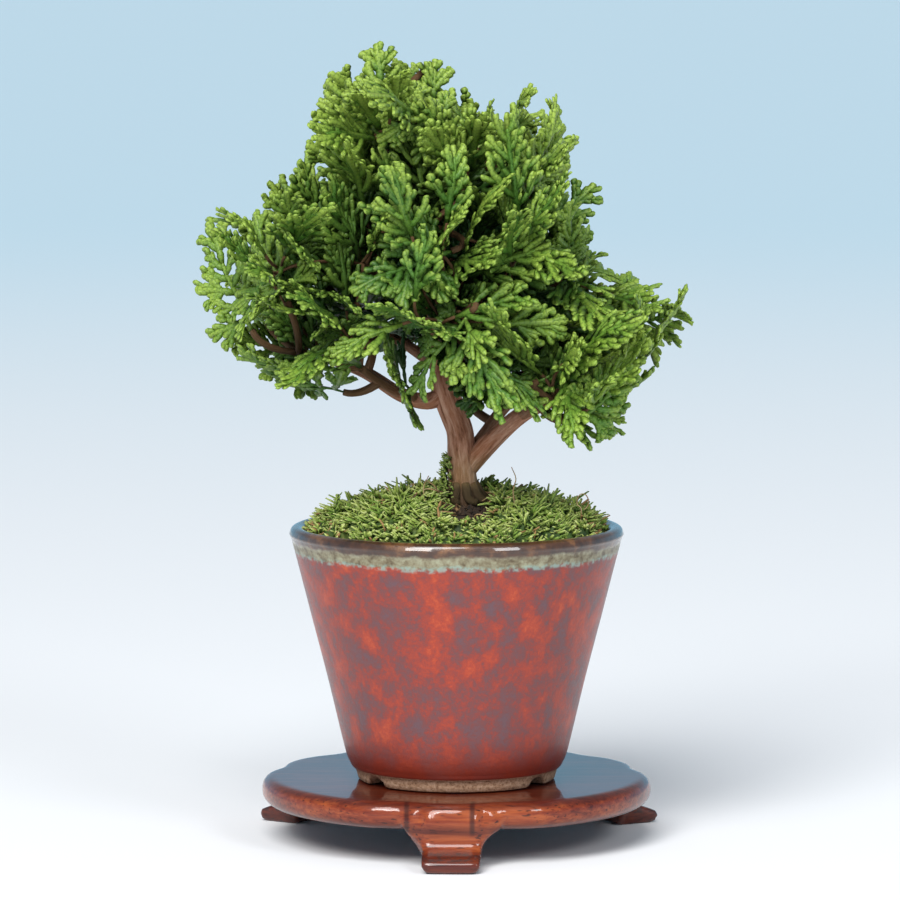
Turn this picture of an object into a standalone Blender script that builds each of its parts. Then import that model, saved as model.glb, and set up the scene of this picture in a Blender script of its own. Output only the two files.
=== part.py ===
"""Hinoki cypress bonsai in a glazed pot that stands on a three-legged wooden stand.

Lengths are in millimetres and become metres where a mesh is made. -Y faces the viewer and Z = 0 is the
surface that the stand rests on. The pot's axis is the local origin of everything that is drawn here.
"""

import math

import bmesh
import bpy
import numpy as np
from mathutils import Matrix, Vector
from mathutils.bvhtree import BVHTree

MM = 0.001
GAP = 0.3  # clearance between pieces that touch

# The pot's axis stands this far from the middle of the whole object's outline, which is the origin.
AXIS_X = 2.6
AXIS_Y = -3.1

# Stand
STAND_HEIGHT = 14.2
PLATE_THICKNESS = 6.0
PLATE_RADIUS = 43.9
PLATE_EDGE = 2.6  # radius of the rounded edge
PLATE_DENT = 1.5  # how far the outline draws in on each side of a leg
LEG_COUNT = 3
LEG_WIDTH = 13.0
LEG_FLARE = 4.4  # how much wider each side of a leg is where it grows from the plate
LEG_NECK = 4.4  # above this height a leg starts to widen
LEG_SWEEP = 4.4
LEG_REACH = 49.5  # from the axis to the tip of the toe
STAND_Y = 6.0  # the pot stands this far in front of the middle of the stand
LEG_TURN = math.radians(-91.5)  # the front leg, seen from above
GROOVE_RADIUS = 1.1

# Pot
RIM_RADIUS = 37.5
POT_HEIGHT = 57.0
WALL = 3.5
FOOT_RADIUS = 22.0
FOOT_HEIGHT = 2.7
FOOT_WIDTH = 3.6
FLOOR_TOP = 6.4
DRAIN_RADIUS = 5.0
NOTCH_RADIUS = 3.1
NOTCH_ANGLES = (-36.0, 90.0, 216.0)  # seen from above, in degrees
POT_STEPS = 30

# Drainage mesh, soil and moss
MESH_RADIUS = 9.0
MESH_THICKNESS = 0.8
MESH_PITCH = 3.4
MESH_HOLE = 2.0
TRUNK_X = 1.4
TRUNK_HOLE = 4.9
TRUNK_HOLE_DEPTH = 15.0
MOSS_THICKNESS = 3.2
MOSS_BUMP = 0.7
BARE_X, BARE_Y, BARE_RADIUS = 2.2, -1.6, 9.2  # where roots and soil show through the moss

# Foliage
BLADE = 0.8  # thickness of a spray's flat shoots
STALK_HALF = 0.65
FINGER_WIDTH = 2.2
SPREAD = 22.0  # degrees between the shoots of a fan
# A spray's side fans, on one side and the other in turn: height on the stalk, reach, degrees off the stalk
SIDE_FANS = ((3.0, 13.5, 78), (4.6, 13.5, 76), (10.6, 12.5, 59), (12.2, 12.0, 57))
SPRAY_LENGTH = 31.0
TWIG_RADIUS = 0.75
TWIG_LONGEST = 20.0
LOWEST_LEAF = 88.0
SEED = 41


def clear_scene():
    for old in list(bpy.data.objects):
        bpy.data.objects.remove(old)


def collection(name):
    made = bpy.data.collections.new(name)
    bpy.context.scene.collection.children.link(made)
    return made


def material(name, colour, roughness, metallic=0.0):
    made = bpy.data.materials.new(name)
    made.use_nodes = True
    shader = made.node_tree.nodes["Principled BSDF"]
    shader.inputs["Base Color"].default_value = (*colour, 1)
    shader.inputs["Roughness"].default_value = roughness
    shader.inputs["Metallic"].default_value = metallic
    return made


def add_object(name, mesh, where, finish=None):
    obj = bpy.data.objects.new(name, mesh)
    where.objects.link(obj)
    if finish:
        mesh.materials.clear()
        mesh.materials.append(finish)
    return obj


def mesh_from(points, faces, name="shape"):
    """A mesh from points in millimetres."""
    mesh = bpy.data.meshes.new(name)
    mesh.from_pydata([tuple(MM * c for c in p) for p in points], [], faces)
    return mesh


def applied(obj):
    """Replaces the object's mesh by the one that its modifiers make."""
    graph = bpy.context.evaluated_depsgraph_get()
    mesh = bpy.data.meshes.new_from_object(obj.evaluated_get(graph))
    obj.modifiers.clear()
    old, obj.data = obj.data, mesh
    bpy.data.meshes.remove(old)
    return obj


def mesh_of_curve(curve_object, name, where):
    """A curve made a mesh with its caps welded. The curve is removed."""
    graph = bpy.context.evaluated_depsgraph_get()
    mesh = bpy.data.meshes.new_from_object(curve_object.evaluated_get(graph))
    form = bmesh.new()
    form.from_mesh(mesh)
    bmesh.ops.remove_doubles(form, verts=form.verts, dist=0.00001)
    bmesh.ops.recalc_face_normals(form, faces=form.faces)
    form.to_mesh(mesh)
    form.free()
    obj = add_object(name, mesh, where)
    obj.matrix_world = curve_object.matrix_world
    bpy.data.objects.remove(curve_object)
    return obj


def unite(base, others, solver="MANIFOLD"):
    """Joins every object of the collection `others` to base, then removes them."""
    union = base.modifiers.new("union", "BOOLEAN")
    union.operation = "UNION"
    union.operand_type = "COLLECTION"
    union.collection = others
    union.solver = solver
    applied(base)
    for obj in list(others.objects):
        bpy.data.objects.remove(obj)


def subtract(base, cutter, solver="EXACT"):
    cut = base.modifiers.new("cut", "BOOLEAN")
    cut.operation = "DIFFERENCE"
    cut.object = cutter
    cut.solver = solver
    cutter.hide_render = True
    cutter.display_type = "WIRE"


def turned(name, profile, steps, where):
    """A profile of (radius, height) points, turned about Z by a Screw modifier."""
    count = len(profile)
    mesh = bpy.data.meshes.new(name)
    edges = [(i, i + 1) for i in range(count - 1)]
    if profile[0][0] > 0:
        edges.append((count - 1, 0))
    mesh.from_pydata([(MM * r, 0, MM * z) for r, z in profile], edges, [])
    obj = add_object(name, mesh, where)
    screw = obj.modifiers.new("turn", "SCREW")
    screw.steps = screw.render_steps = steps
    screw.use_merge_vertices = True
    screw.merge_threshold = 0.00001
    return obj


def cylinder(name, radius, depth, sides, where):
    form = bmesh.new()
    bmesh.ops.create_cone(form, cap_ends=True, segments=sides, radius1=radius * MM, radius2=radius * MM,
                          depth=depth * MM)
    mesh = bpy.data.meshes.new(name)
    form.to_mesh(mesh)
    form.free()
    return add_object(name, mesh, where)


def smooth_path(points, per_span):
    """Catmull-Rom points through hand-laid points, each a row of numbers."""
    rows = np.array(points, float)
    padded = np.vstack([2 * rows[0] - rows[1], rows, 2 * rows[-1] - rows[-2]])
    path = []
    for i in range(1, len(padded) - 2):
        a, b, c, d = padded[i - 1 : i + 3]
        for t in np.arange(per_span) / per_span:
            path.append(0.5 * (2 * b + (c - a) * t + (2 * a - 5 * b + 4 * c - d) * t**2
                               + (3 * b - a - 3 * c + d) * t**3))
    path.append(rows[-1])
    return np.array(path)


def tube(name, path, where, resolution=1):
    """A tapered tube along rows of x, y, z, radius."""
    curve = bpy.data.curves.new(name, "CURVE")
    curve.dimensions = "3D"
    curve.bevel_depth = MM
    curve.bevel_resolution = resolution
    curve.use_fill_caps = True
    line = curve.splines.new("POLY")
    line.points.add(len(path) - 1)
    for point, (x, y, z, radius) in zip(line.points, path):
        point.co = (x * MM, y * MM, z * MM, 1)
        point.radius = radius
    holder = bpy.data.objects.new(name + "_line", curve)
    where.objects.link(holder)
    return mesh_of_curve(holder, name, where)


def plate_outline(count):
    """The plate seen from above: round, and drawn in a little on each side of every leg."""
    points = []
    for i in range(count):
        angle = 2 * math.pi * i / count
        off = (angle - LEG_TURN) % (2 * math.pi / LEG_COUNT)
        off = min(off, 2 * math.pi / LEG_COUNT - off)
        dent = math.exp(-(((off - 0.27) / 0.13) ** 2))
        radius = PLATE_RADIUS - PLATE_DENT * dent
        points.append((radius * math.cos(angle), radius * math.sin(angle)))
    return points


def build_plate(where):
    """A flat outline with a rounded edge."""
    curve = bpy.data.curves.new("plate", "CURVE")
    curve.dimensions = "2D"
    curve.fill_mode = "BOTH"
    curve.bevel_depth = PLATE_EDGE * MM
    curve.bevel_resolution = 1
    curve.extrude = (PLATE_THICKNESS / 2 - PLATE_EDGE) * MM
    line = curve.splines.new("POLY")
    outline = plate_outline(54)
    line.points.add(len(outline) - 1)
    inset = 1 - PLATE_EDGE / PLATE_RADIUS
    for point, (x, y) in zip(line.points, outline):
        point.co = (x * inset * MM, y * inset * MM, 0, 1)
    line.use_cyclic_u = True
    holder = bpy.data.objects.new("plate", curve)
    where.objects.link(holder)
    holder.location.z = (STAND_HEIGHT - PLATE_THICKNESS / 2) * MM
    bpy.context.view_layer.update()
    return mesh_of_curve(holder, "stand", where)


def leg_profile():
    """The leg from the side, as (distance from the axis, height) points: knee, hollow shin and toe."""
    knee = PLATE_RADIUS - 0.4
    return [
        (32.0, STAND_HEIGHT - 2.0), (knee - 1.6, STAND_HEIGHT - 1.0), (knee + 0.3, STAND_HEIGHT - 2.8),
        (knee + 0.5, 9.4), (knee - 0.1, 7.0), (knee + 0.8, 4.7), (LEG_REACH - 2.0, 3.4),
        (LEG_REACH - 0.3, 2.6), (LEG_REACH, 1.4), (LEG_REACH - 1.2, 0.0), (knee - 3.6, 0.0),
        (knee - 4.6, 2.6), (knee - 5.4, 5.0), (knee - 8.6, 7.4), (32.0, 9.2),
    ]


def build_leg(index, where):
    """One leg: its side outline, wide and swept in under the plate, then straight down to a worn toe."""
    form = bmesh.new()
    rows = []
    for share in (-1.0, -0.8, 0.0, 0.8, 1.0):
        outer = abs(share) == 1.0
        row = []
        for reach, height in leg_profile():
            swell = min(1.0, max(0.0, (height - LEG_NECK) / LEG_SWEEP)) ** 2
            half = abs(share) * LEG_WIDTH / 2 - 1.1 * abs(share) * max(0.0, 1 - height / 1.6)
            half += swell * (LEG_FLARE if outer else 0.4 * abs(share))
            if outer:
                reach -= 0.5 + 2.2 * swell if reach > 40 else -0.5
            row.append(form.verts.new((reach * MM, math.copysign(half, share) * MM, height * MM)))
        rows.append(row)
    for near, far in zip(rows, rows[1:]):
        for i in range(len(near)):
            j = (i + 1) % len(near)
            form.faces.new((near[i], near[j], far[j], far[i]))
    form.faces.new(rows[0])
    form.faces.new(list(reversed(rows[-1])))
    bmesh.ops.recalc_face_normals(form, faces=form.faces)
    mesh = bpy.data.meshes.new("leg")
    form.to_mesh(mesh)
    form.free()
    leg = add_object("leg", mesh, where)
    leg.rotation_euler.z = LEG_TURN + index * 2 * math.pi / LEG_COUNT
    return leg


def build_groove(index, side, where):
    """A cutter for the carved line between the plate's edge and the side of a leg."""
    groove = cylinder(f"groove_{index}_{side}", GROOVE_RADIUS, 16, 8, where)
    turn = LEG_TURN + index * 2 * math.pi / LEG_COUNT + side * (LEG_WIDTH / 2 + 0.7) / PLATE_RADIUS
    reach = PLATE_RADIUS + 0.35
    groove.location = (reach * math.cos(turn) * MM, reach * math.sin(turn) * MM, 11.5 * MM)
    groove.rotation_euler = (0, math.radians(-14), turn)
    return groove


def build_stand(where, tools, finish):
    """Plate and three legs, carved from one piece of wood."""
    stand = build_plate(where)
    legs = collection("legs")
    for index in range(LEG_COUNT):
        build_leg(index, legs)
    unite(stand, legs, "EXACT")
    bpy.data.collections.remove(legs)
    for index in range(LEG_COUNT):
        for side in (-1, 1):
            subtract(stand, build_groove(index, side, tools))
    applied(stand)
    stand.data.transform(Matrix.Translation((0, STAND_Y * MM, 0)))
    stand.data.materials.clear()
    stand.data.materials.append(finish)
    return stand


def pot_profile():
    """Outer wall down to the foot, under the floor, through the drain hole, and up the inner wall."""
    z = STAND_HEIGHT + GAP
    slope = (RIM_RADIUS - 25.9) / (POT_HEIGHT - 12.0)
    inner = RIM_RADIUS - WALL - 0.2
    return [
        (RIM_RADIUS - 1.8, z + POT_HEIGHT), (RIM_RADIUS - 0.6, z + POT_HEIGHT - 0.5),
        (RIM_RADIUS, z + POT_HEIGHT - 1.7), (RIM_RADIUS - 3.5 * slope, z + POT_HEIGHT - 4.4),
        (RIM_RADIUS - 20 * slope, z + POT_HEIGHT - 21), (25.9, z + 10.0),
        (24.7, z + 5.4), (23.6, z + FOOT_HEIGHT + 0.4), (FOOT_RADIUS + 0.7, z + FOOT_HEIGHT - 0.1),
        (FOOT_RADIUS, z), (FOOT_RADIUS - FOOT_WIDTH, z), (FOOT_RADIUS - FOOT_WIDTH - 0.5, z + 2.2),
        (DRAIN_RADIUS, z + 2.6), (DRAIN_RADIUS, z + FLOOR_TOP), (19.4, z + FLOOR_TOP),
        (21.4, z + FLOOR_TOP + 1.3), (inner - 7.2, z + 27.0), (inner, z + POT_HEIGHT - 2.4),
        (inner + 0.5, z + POT_HEIGHT - 0.7), (inner + 1.1, z + POT_HEIGHT - 0.1),
    ]


def build_pot(where, tools, finish):
    """The turned pot, with three notches cut through its foot ring."""
    pot = turned("pot", pot_profile(), POT_STEPS, where)
    for index, degrees in enumerate(NOTCH_ANGLES):
        notch = cylinder(f"foot_notch_{index}", NOTCH_RADIUS, 14, 12, tools)
        turn = math.radians(degrees)
        height = STAND_HEIGHT + GAP - NOTCH_RADIUS + FOOT_HEIGHT - 0.5
        notch.location = (20 * math.cos(turn) * MM, 20 * math.sin(turn) * MM, height * MM)
        notch.rotation_euler = (0, math.pi / 2, turn)
        subtract(pot, notch)
    pot.data.materials.append(finish)
    return pot


def build_drain_mesh(where, tools, finish):
    """A round piece of plastic net over the drain hole, with a grid of square holes."""
    net = cylinder("drain_mesh", MESH_RADIUS, MESH_THICKNESS, 20, where)
    net.location.z = (STAND_HEIGHT + 2 * GAP + FLOOR_TOP + MESH_THICKNESS / 2) * MM
    net.data.materials.append(finish)
    holes = bmesh.new()
    for column in range(-2, 3):
        for row in range(-2, 3):
            if math.hypot(column, row) * MESH_PITCH > MESH_RADIUS - MESH_HOLE:
                continue
            spot = Matrix.Translation((column * MESH_PITCH * MM, row * MESH_PITCH * MM, 0))
            bmesh.ops.create_cube(holes, size=1.0, matrix=spot @ Matrix.Diagonal(
                (MESH_HOLE * MM, MESH_HOLE * MM, 4 * MM, 1)))
    mesh = bpy.data.meshes.new("net_holes")
    holes.to_mesh(mesh)
    holes.free()
    cutter = add_object("net_holes", mesh, tools)
    cutter.location = net.location
    subtract(net, cutter)
    return net


def ground_height(radius):
    """Height of the moss above the stand at a distance from the pot's axis: a low dome."""
    return np.interp(radius, [0, 6, 17, 26, 33], [65.0, 64.8, 62.7, 60.3, 57.2])


def inner_wall_radius(height):
    """The pot's inner radius at a height above the stand, from the wall's own profile."""
    z = STAND_HEIGHT + GAP
    inner = RIM_RADIUS - WALL - 0.2
    return np.interp(height, [FLOOR_TOP + 1.3, 27.0, POT_HEIGHT - 2.4, POT_HEIGHT - 0.7],
                     [21.4, inner - 7.2, inner, inner + 0.5])


def build_soil(where, tools, finish):
    """Soil fills the pot up to the moss, and holds the trunk in a plain hole."""
    z = STAND_HEIGHT + GAP
    lift = MOSS_THICKNESS + GAP
    rim = inner_wall_radius(54.0) - GAP - 0.3
    profile = [
        (0, z + ground_height(0) - lift), (9, z + ground_height(9) - lift),
        (18, z + ground_height(18) - lift), (26, z + ground_height(26) - lift), (rim, z + 53.6),
        (inner_wall_radius(27) - GAP - 0.1, z + 27), (21.4 - GAP - 0.2, z + FLOOR_TOP + 1.5),
        (19.2, z + FLOOR_TOP + GAP), (MESH_RADIUS + 0.6, z + FLOOR_TOP + GAP),
        (MESH_RADIUS + 0.5, z + FLOOR_TOP + MESH_THICKNESS + 2 * GAP),
        (0, z + FLOOR_TOP + MESH_THICKNESS + 2 * GAP),
    ]
    soil = turned("soil", profile, 20, where)
    hole = cylinder("trunk_hole", TRUNK_HOLE, 2 * TRUNK_HOLE_DEPTH, 16, tools)
    hole.location = (TRUNK_X * MM, 0, (z + ground_height(0)) * MM)
    subtract(soil, hole)
    soil.data.materials.append(finish)
    return soil


def moss_bump(x, y):
    """Low tufts: a sum of three slow waves that cross each other."""
    return MOSS_BUMP * (math.sin(0.62 * x + 0.3 * y) + math.sin(0.55 * y - 0.37 * x + 1.9)
                        + 0.7 * math.sin(0.9 * x - 0.8 * y + 0.7)) / 2


def build_moss(where, tools, finish):
    """A sheet of moss over the soil, tufted on top, with a bare patch round the foot of the trunk."""
    z = STAND_HEIGHT + GAP
    edge = inner_wall_radius(56.0) - GAP - 0.4
    profile = [(0, ground_height(0)), (5, ground_height(5)), (10, ground_height(10)),
               (15, ground_height(15)), (20, ground_height(20)), (25, ground_height(25)),
               (29.5, ground_height(29.5)), (edge, 56.9), (edge - 0.4, 54.6),
               (26, ground_height(26) - MOSS_THICKNESS), (18, ground_height(18) - MOSS_THICKNESS),
               (9, ground_height(9) - MOSS_THICKNESS), (0, ground_height(0) - MOSS_THICKNESS)]
    moss = applied(turned("moss", [(r, z + h) for r, h in profile], 24, where))
    for vertex in moss.data.vertices:
        x, y, height = (c / MM for c in vertex.co)
        radius = math.hypot(x, y)
        if height > z + ground_height(radius) - 0.3 and radius < edge - 1:
            vertex.co.z += moss_bump(x, y) * MM
    bare = cylinder("bare_patch", BARE_RADIUS, 40, 14, tools)
    bare.location = (BARE_X * MM, BARE_Y * MM, (z + ground_height(0)) * MM)
    subtract(moss, bare)
    moss.data.materials.append(finish)
    return moss


# Wood. Each row is x, y, z and radius, laid by eye along the limb, and the first row lies inside its parent.
TRUNK = [
    (1.4, 0.0, 65.0, 4.3), (1.4, 0.0, 73.0, 4.5), (1.5, 0.0, 78.0, 4.0), (1.3, 0.0, 82.5, 3.2),
    (1.1, 0.0, 88.0, 3.1), (0.6, 0.0, 93.0, 3.0), (-1.4, 0.0, 98.5, 3.0), (-2.6, 0.2, 103.0, 3.1),
    (-3.1, 1.0, 107.0, 2.8), (-3.8, 3.0, 114.0, 2.3), (-5.8, 4.0, 124.0, 2.0), (-8.6, 3.6, 135.0, 1.7),
    (-11.4, 2.6, 146.0, 1.4), (-14.0, 1.2, 156.0, 1.1), (-15.4, 0.0, 165.0, 0.8),
]
LIMBS = {
    "low_left": [(-2.2, 0.0, 101.5, 2.0), (-6.6, -0.8, 99.4, 1.9), (-12.7, -2.2, 101.2, 1.6),
                 (-20.0, -4.5, 106.0, 1.4), (-27.5, -6.5, 109.0, 1.1), (-35.0, -8.0, 111.0, 0.8)],
    "low_left_front": [(-12.7, -2.2, 101.2, 1.2), (-17.0, -9.0, 104.5, 1.0), (-21.0, -16.0, 108.0, 0.8)],
    "low_right": [(2.6, 0.0, 84.5, 2.3), (6.4, -1.4, 89.2, 2.3), (9.7, -2.8, 92.6, 2.1),
                  (14.2, -4.4, 96.6, 1.9), (19.0, -6.0, 99.2, 1.6), (25.0, -7.5, 101.0, 1.3),
                  (32.0, -8.5, 104.5, 1.0), (37.0, -8.5, 108.5, 0.8)],
    "low_right_front": [(14.2, -4.4, 96.6, 1.4), (18.5, -11.5, 99.5, 1.1), (21.5, -19.0, 101.5, 0.8)],
    "low_right_back": [(2.6, 0.8, 87.0, 1.5), (6.6, 3.0, 92.0, 1.5), (10.0, 5.6, 96.5, 1.3),
                       (15.5, 10.0, 101.5, 1.1), (22.0, 14.5, 106.0, 0.9), (28.0, 17.0, 110.0, 0.7)],
    "mid_back_left": [(-3.1, 1.4, 106.0, 1.6), (-8.5, 8.0, 109.5, 1.3), (-16.0, 14.0, 114.0, 1.0),
                      (-24.0, 18.0, 119.0, 0.8)],
    "mid_front": [(-3.4, 1.4, 110.0, 1.5), (-2.6, -6.0, 113.0, 1.3), (-2.0, -13.5, 116.0, 1.0),
                  (-2.0, -20.0, 118.0, 0.8)],
    "mid_right": [(-4.0, 3.0, 115.0, 1.6), (4.0, 1.0, 119.0, 1.4), (13.0, -1.0, 124.0, 1.1),
                  (22.0, -2.0, 128.5, 0.8)],
    "mid_right_back": [(4.0, 1.0, 119.0, 1.2), (9.0, 8.5, 124.0, 1.0), (14.0, 15.5, 128.5, 0.8)],
    "mid_left": [(-4.8, 3.6, 119.0, 1.5), (-13.0, 1.5, 123.0, 1.3), (-23.0, -0.5, 127.0, 1.1),
                 (-33.0, -2.0, 131.0, 0.8)],
    "mid_left_front": [(-13.0, 1.5, 123.0, 1.1), (-17.5, -6.5, 127.5, 0.9), (-21.0, -13.0, 131.0, 0.8)],
    "mid_back": [(-5.8, 4.4, 124.0, 1.4), (-5.5, 12.0, 128.0, 1.1), (-5.0, 20.0, 132.0, 0.8)],
    "high_front": [(-7.8, 3.4, 131.0, 1.3), (-7.5, -4.0, 135.5, 1.0), (-7.0, -12.0, 139.5, 0.8)],
    "high_right": [(-8.6, 3.6, 134.0, 1.4), (0.0, 2.6, 141.0, 1.1), (8.0, 1.6, 147.0, 0.8)],
    "high_left": [(-10.5, 3.0, 142.0, 1.2), (-17.5, 1.5, 147.0, 1.0), (-24.5, 0.0, 151.5, 0.8)],
    "high_back": [(-10.9, 2.8, 145.0, 1.1), (-11.0, 10.0, 150.0, 0.9), (-11.0, 16.5, 154.0, 0.7)],
}
ROOTS = 5


def build_roots(where):
    """Surface roots that run out from the foot of the trunk and dive into the soil."""
    z = STAND_HEIGHT + GAP + ground_height(5) - MOSS_THICKNESS - GAP
    for index in range(ROOTS):
        turn = math.radians(205 + index * 38)
        rows = []
        for reach, rise, radius, bend in ((2.6, 5.0, 1.2, 0), (4.8, 1.9, 1.0, 0.1), (6.9, 1.4, 0.7, 0.3)):
            x = TRUNK_X + reach * math.cos(turn + bend)
            rows.append((x, reach * math.sin(turn + bend), z + rise, radius))
        tube(f"root_{index}", smooth_path(rows, 2), where)


def build_wood(where, twigs, finish):
    """Trunk, limbs, surface roots and the twigs that carry the sprays, grown as one piece."""
    wood = tube("trunk_and_branches", smooth_path(TRUNK, 1), where, resolution=2)
    shoots = collection("shoots")
    for name, rows in LIMBS.items():
        tube(name, smooth_path(rows, 1), shoots)
    build_roots(shoots)
    for index, path in enumerate(twigs):
        tube(f"twig_{index}", path, shoots, resolution=0)
    unite(wood, shoots)
    bpy.data.collections.remove(shoots)
    wood.data.materials.clear()
    wood.data.materials.append(finish)
    return wood


def fan(origin, aim, reach, spread, lengths, width):
    """Outline of one fan of finger shoots, walked against the clock: two points a tip, one a notch."""
    half = len(lengths) // 2
    points = []
    for i, share in enumerate(lengths):
        angle = aim + spread * (half - i)
        along = np.array((math.sin(angle), math.cos(angle)))
        across = np.array((math.cos(angle), -math.sin(angle)))
        tip = origin + along * reach * share
        if i:
            middle = aim + spread * (half - i + 0.5)
            depth = 0.38 * reach * min(share, lengths[i - 1])
            points.append(origin + depth * np.array((math.sin(middle), math.cos(middle))))
        points += [tip + across * width / 2, tip - across * width / 2]
    return points


def spray_outline(rng, length):
    """A flat spray in one outline: a stalk, two fans of shoots on each side and one at the end."""
    scale = length / SPRAY_LENGTH
    width = FINGER_WIDTH * (0.8 + 0.2 * scale)
    hand = rng.choice((-1, 1))
    right, left = [np.array((STALK_HALF, 0.0))], []
    for step, (height, reach, aim) in enumerate(SIDE_FANS):
        side = hand if step % 2 == 0 else -hand
        origin = np.array((0.0, height * scale))
        turn = math.radians(aim + rng.uniform(-3, 3))
        size = reach * scale * rng.uniform(0.9, 1.06)
        points = [np.array((STALK_HALF, origin[1] + 0.2))]
        points += fan(origin, turn, size, math.radians(SPREAD), (0.84, 1.0, 0.74), width)
        points.append(np.array((STALK_HALF, origin[1] + 3.4 * scale)))
        if side > 0:
            right += points
        else:
            left = [p * (-1, 1) for p in reversed(points)] + left
    size = 11.0 * scale * rng.uniform(0.94, 1.06)
    tip = fan(np.array((0.0, 18.6 * scale)), 0.0, size, math.radians(SPREAD + 5), (0.9, 1.0, 0.9), width)
    return np.array(right + tip + left + [np.array((-STALK_HALF, 0.0))])


def spray_sheet(rng, length):
    """The spray's middle surface, arched along and across, as points and triangles."""
    outline = spray_outline(rng, length)
    form = bmesh.new()
    form.faces.new([form.verts.new((x, y, 0)) for x, y in outline])
    form.normal_update()
    bmesh.ops.triangulate(form, faces=form.faces)
    form.verts.index_update()
    flat = np.array([v.co for v in form.verts])
    faces = [[v.index for v in f.verts] for f in form.faces]
    form.free()
    droop, cup, wave = rng.uniform(0.10, 0.22), rng.uniform(0.008, 0.02), rng.uniform(0, 6.28)
    x, y = flat[:, 0], flat[:, 1]
    flat[:, 2] = (0.35 * droop * y - droop * y**2 / length - cup * x**2
                  + 0.5 * np.sin(0.42 * y + 0.25 * x + wave) * np.clip(y / 6, 0, 1))
    return flat, faces


def skins(points, faces, thickness):
    """Copies of a sheet on both sides of it, for the clearance test."""
    corners = points[np.array(faces)]
    flat = np.cross(corners[:, 1] - corners[:, 0], corners[:, 2] - corners[:, 0])
    normals = np.zeros_like(points)
    for k in range(3):
        np.add.at(normals, np.array(faces)[:, k], flat)
    offset = normals / np.linalg.norm(normals, axis=1)[:, None] * thickness / 2
    back = [[a + len(points), b + len(points), c + len(points)] for a, b, c in faces]
    return np.vstack([points + offset, points - offset]), faces + back


# The crown's masses of sprays, laid by eye: centre x, y, z, half sizes, lift of the shoots, sprays.
MASSES = [
    (-15, 0, 160, 12, 11, 15, 0.9, 6), (11, 0, 155, 14, 14, 9, 0.5, 5), (-26, -3, 139, 14, 15, 9, 0.4, 4),
    (-39, -2, 130, 13, 12, 9, 0.4, 4), (-34, -4, 112, 12, 13, 9, -0.2, 4), (-11, -14, 127, 15, 15, 10, 0.3, 5),
    (-6, -14, 110, 11, 13, 7, -0.5, 3), (17, -6, 137, 12, 15, 9, 0.5, 4), (31, -3, 117, 15, 17, 11, 0.3, 5),
    (23, -10, 104, 13, 14, 7, -0.4, 4), (-8, 20, 146, 14, 12, 10, 0.5, 2), (10, 20, 128, 14, 13, 10, 0.3, 3),
    (-25, 18, 122, 14, 12, 10, 0.2, 3), (-4, 20, 111, 13, 12, 9, -0.3, 2),
]
TRIES = 150
GOLDEN = math.pi * (3 - math.sqrt(5))


def unit(v):
    return v / np.linalg.norm(v)


def turned_about(v, axis, angle):
    """v turned about a unit axis."""
    return v * math.cos(angle) + np.cross(axis, v) * math.sin(angle) + axis * (axis @ v) * (1 - math.cos(angle))


def spray_place(mass, index, attempt, rng):
    """Base point, growing direction and face normal of one spray on a mass, with its length."""
    loose = 1 + attempt / 30
    x, y, z, a, b, c, lift, count = mass
    centre, half = np.array((x, y, z), float), np.array((a, b, c), float)
    turn = GOLDEN * index + x + rng.uniform(-0.5, 0.5) * loose
    height = 0.92 - 1.35 * (index + 0.5) / count + rng.uniform(-0.15, 0.15) * loose
    height = min(0.98, max(-0.9, height))
    ring = math.sqrt(max(0.0, 1 - height**2))
    ball = np.array((ring * math.cos(turn), ring * math.sin(turn), height))
    spot = centre + half * ball * (rng.uniform(0.8, 1.1) + 0.003 * attempt)
    outward = unit(ball / half)
    lean = spot - centre + np.array((0.25 * x, 0.25 * y, lift * 14.0))
    tangent = unit(lean - outward * (lean @ outward) + rng.normal(0, 1.5, 3))
    aim = unit(outward * (0.35 + 0.45 * abs(outward[0])) + tangent)
    aim = turned_about(aim, outward, rng.uniform(-0.6, 0.6) * loose)
    front = 1 if y + 10 * ball[1] > 6 else -1
    look = outward + np.array((0, 0.7 * front, 0.2))
    face = unit(look - aim * (look @ aim))
    face = turned_about(face, aim, rng.uniform(-0.5, 0.5) * loose)
    length = SPRAY_LENGTH * rng.uniform(0.82, 1.0) * (1 - 0.0024 * attempt)
    return spot - aim * length * 0.62, aim, face, length


def spray_where_it_grows(place, rng):
    """The spray's sheet carried from its own plane to its place in the crown."""
    base, aim, face, length = place
    flat, faces = spray_sheet(rng, length)
    return base + flat[:, :1] * np.cross(aim, face) + flat[:, 1:2] * aim + flat[:, 2:] * face, faces


def wood_points():
    """Points along the limbs, from which twigs may grow: x, y, z and radius."""
    rows = [smooth_path(TRUNK[8:], 4)]
    rows += [smooth_path(limb[1:], 4) for limb in LIMBS.values()]
    return np.vstack(rows)


def twig_path(base, aim, wood):
    """A twig from the nearest limb to just short of a spray's base, which it meets along the spray's line."""
    away = base - wood[:, :3]
    reach = np.linalg.norm(away, axis=1)
    forward = (away @ aim) / (reach + 0.1)
    root = wood[np.argmin(reach * (1.6 - 0.9 * forward))]
    end = base - aim * GAP
    bend = end - aim * 0.45 * np.linalg.norm(end - root[:3])
    steps = np.linspace(0, 1, 4)[:, None]
    line = (1 - steps) ** 2 * root[:3] + 2 * steps * (1 - steps) * bend + steps**2 * end
    start = min(root[3], 1.1)
    return np.hstack([line, start + (TWIG_RADIUS - start) * steps])


def bvh(points, faces):
    return BVHTree.FromPolygons([tuple(p) for p in points], faces)


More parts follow.
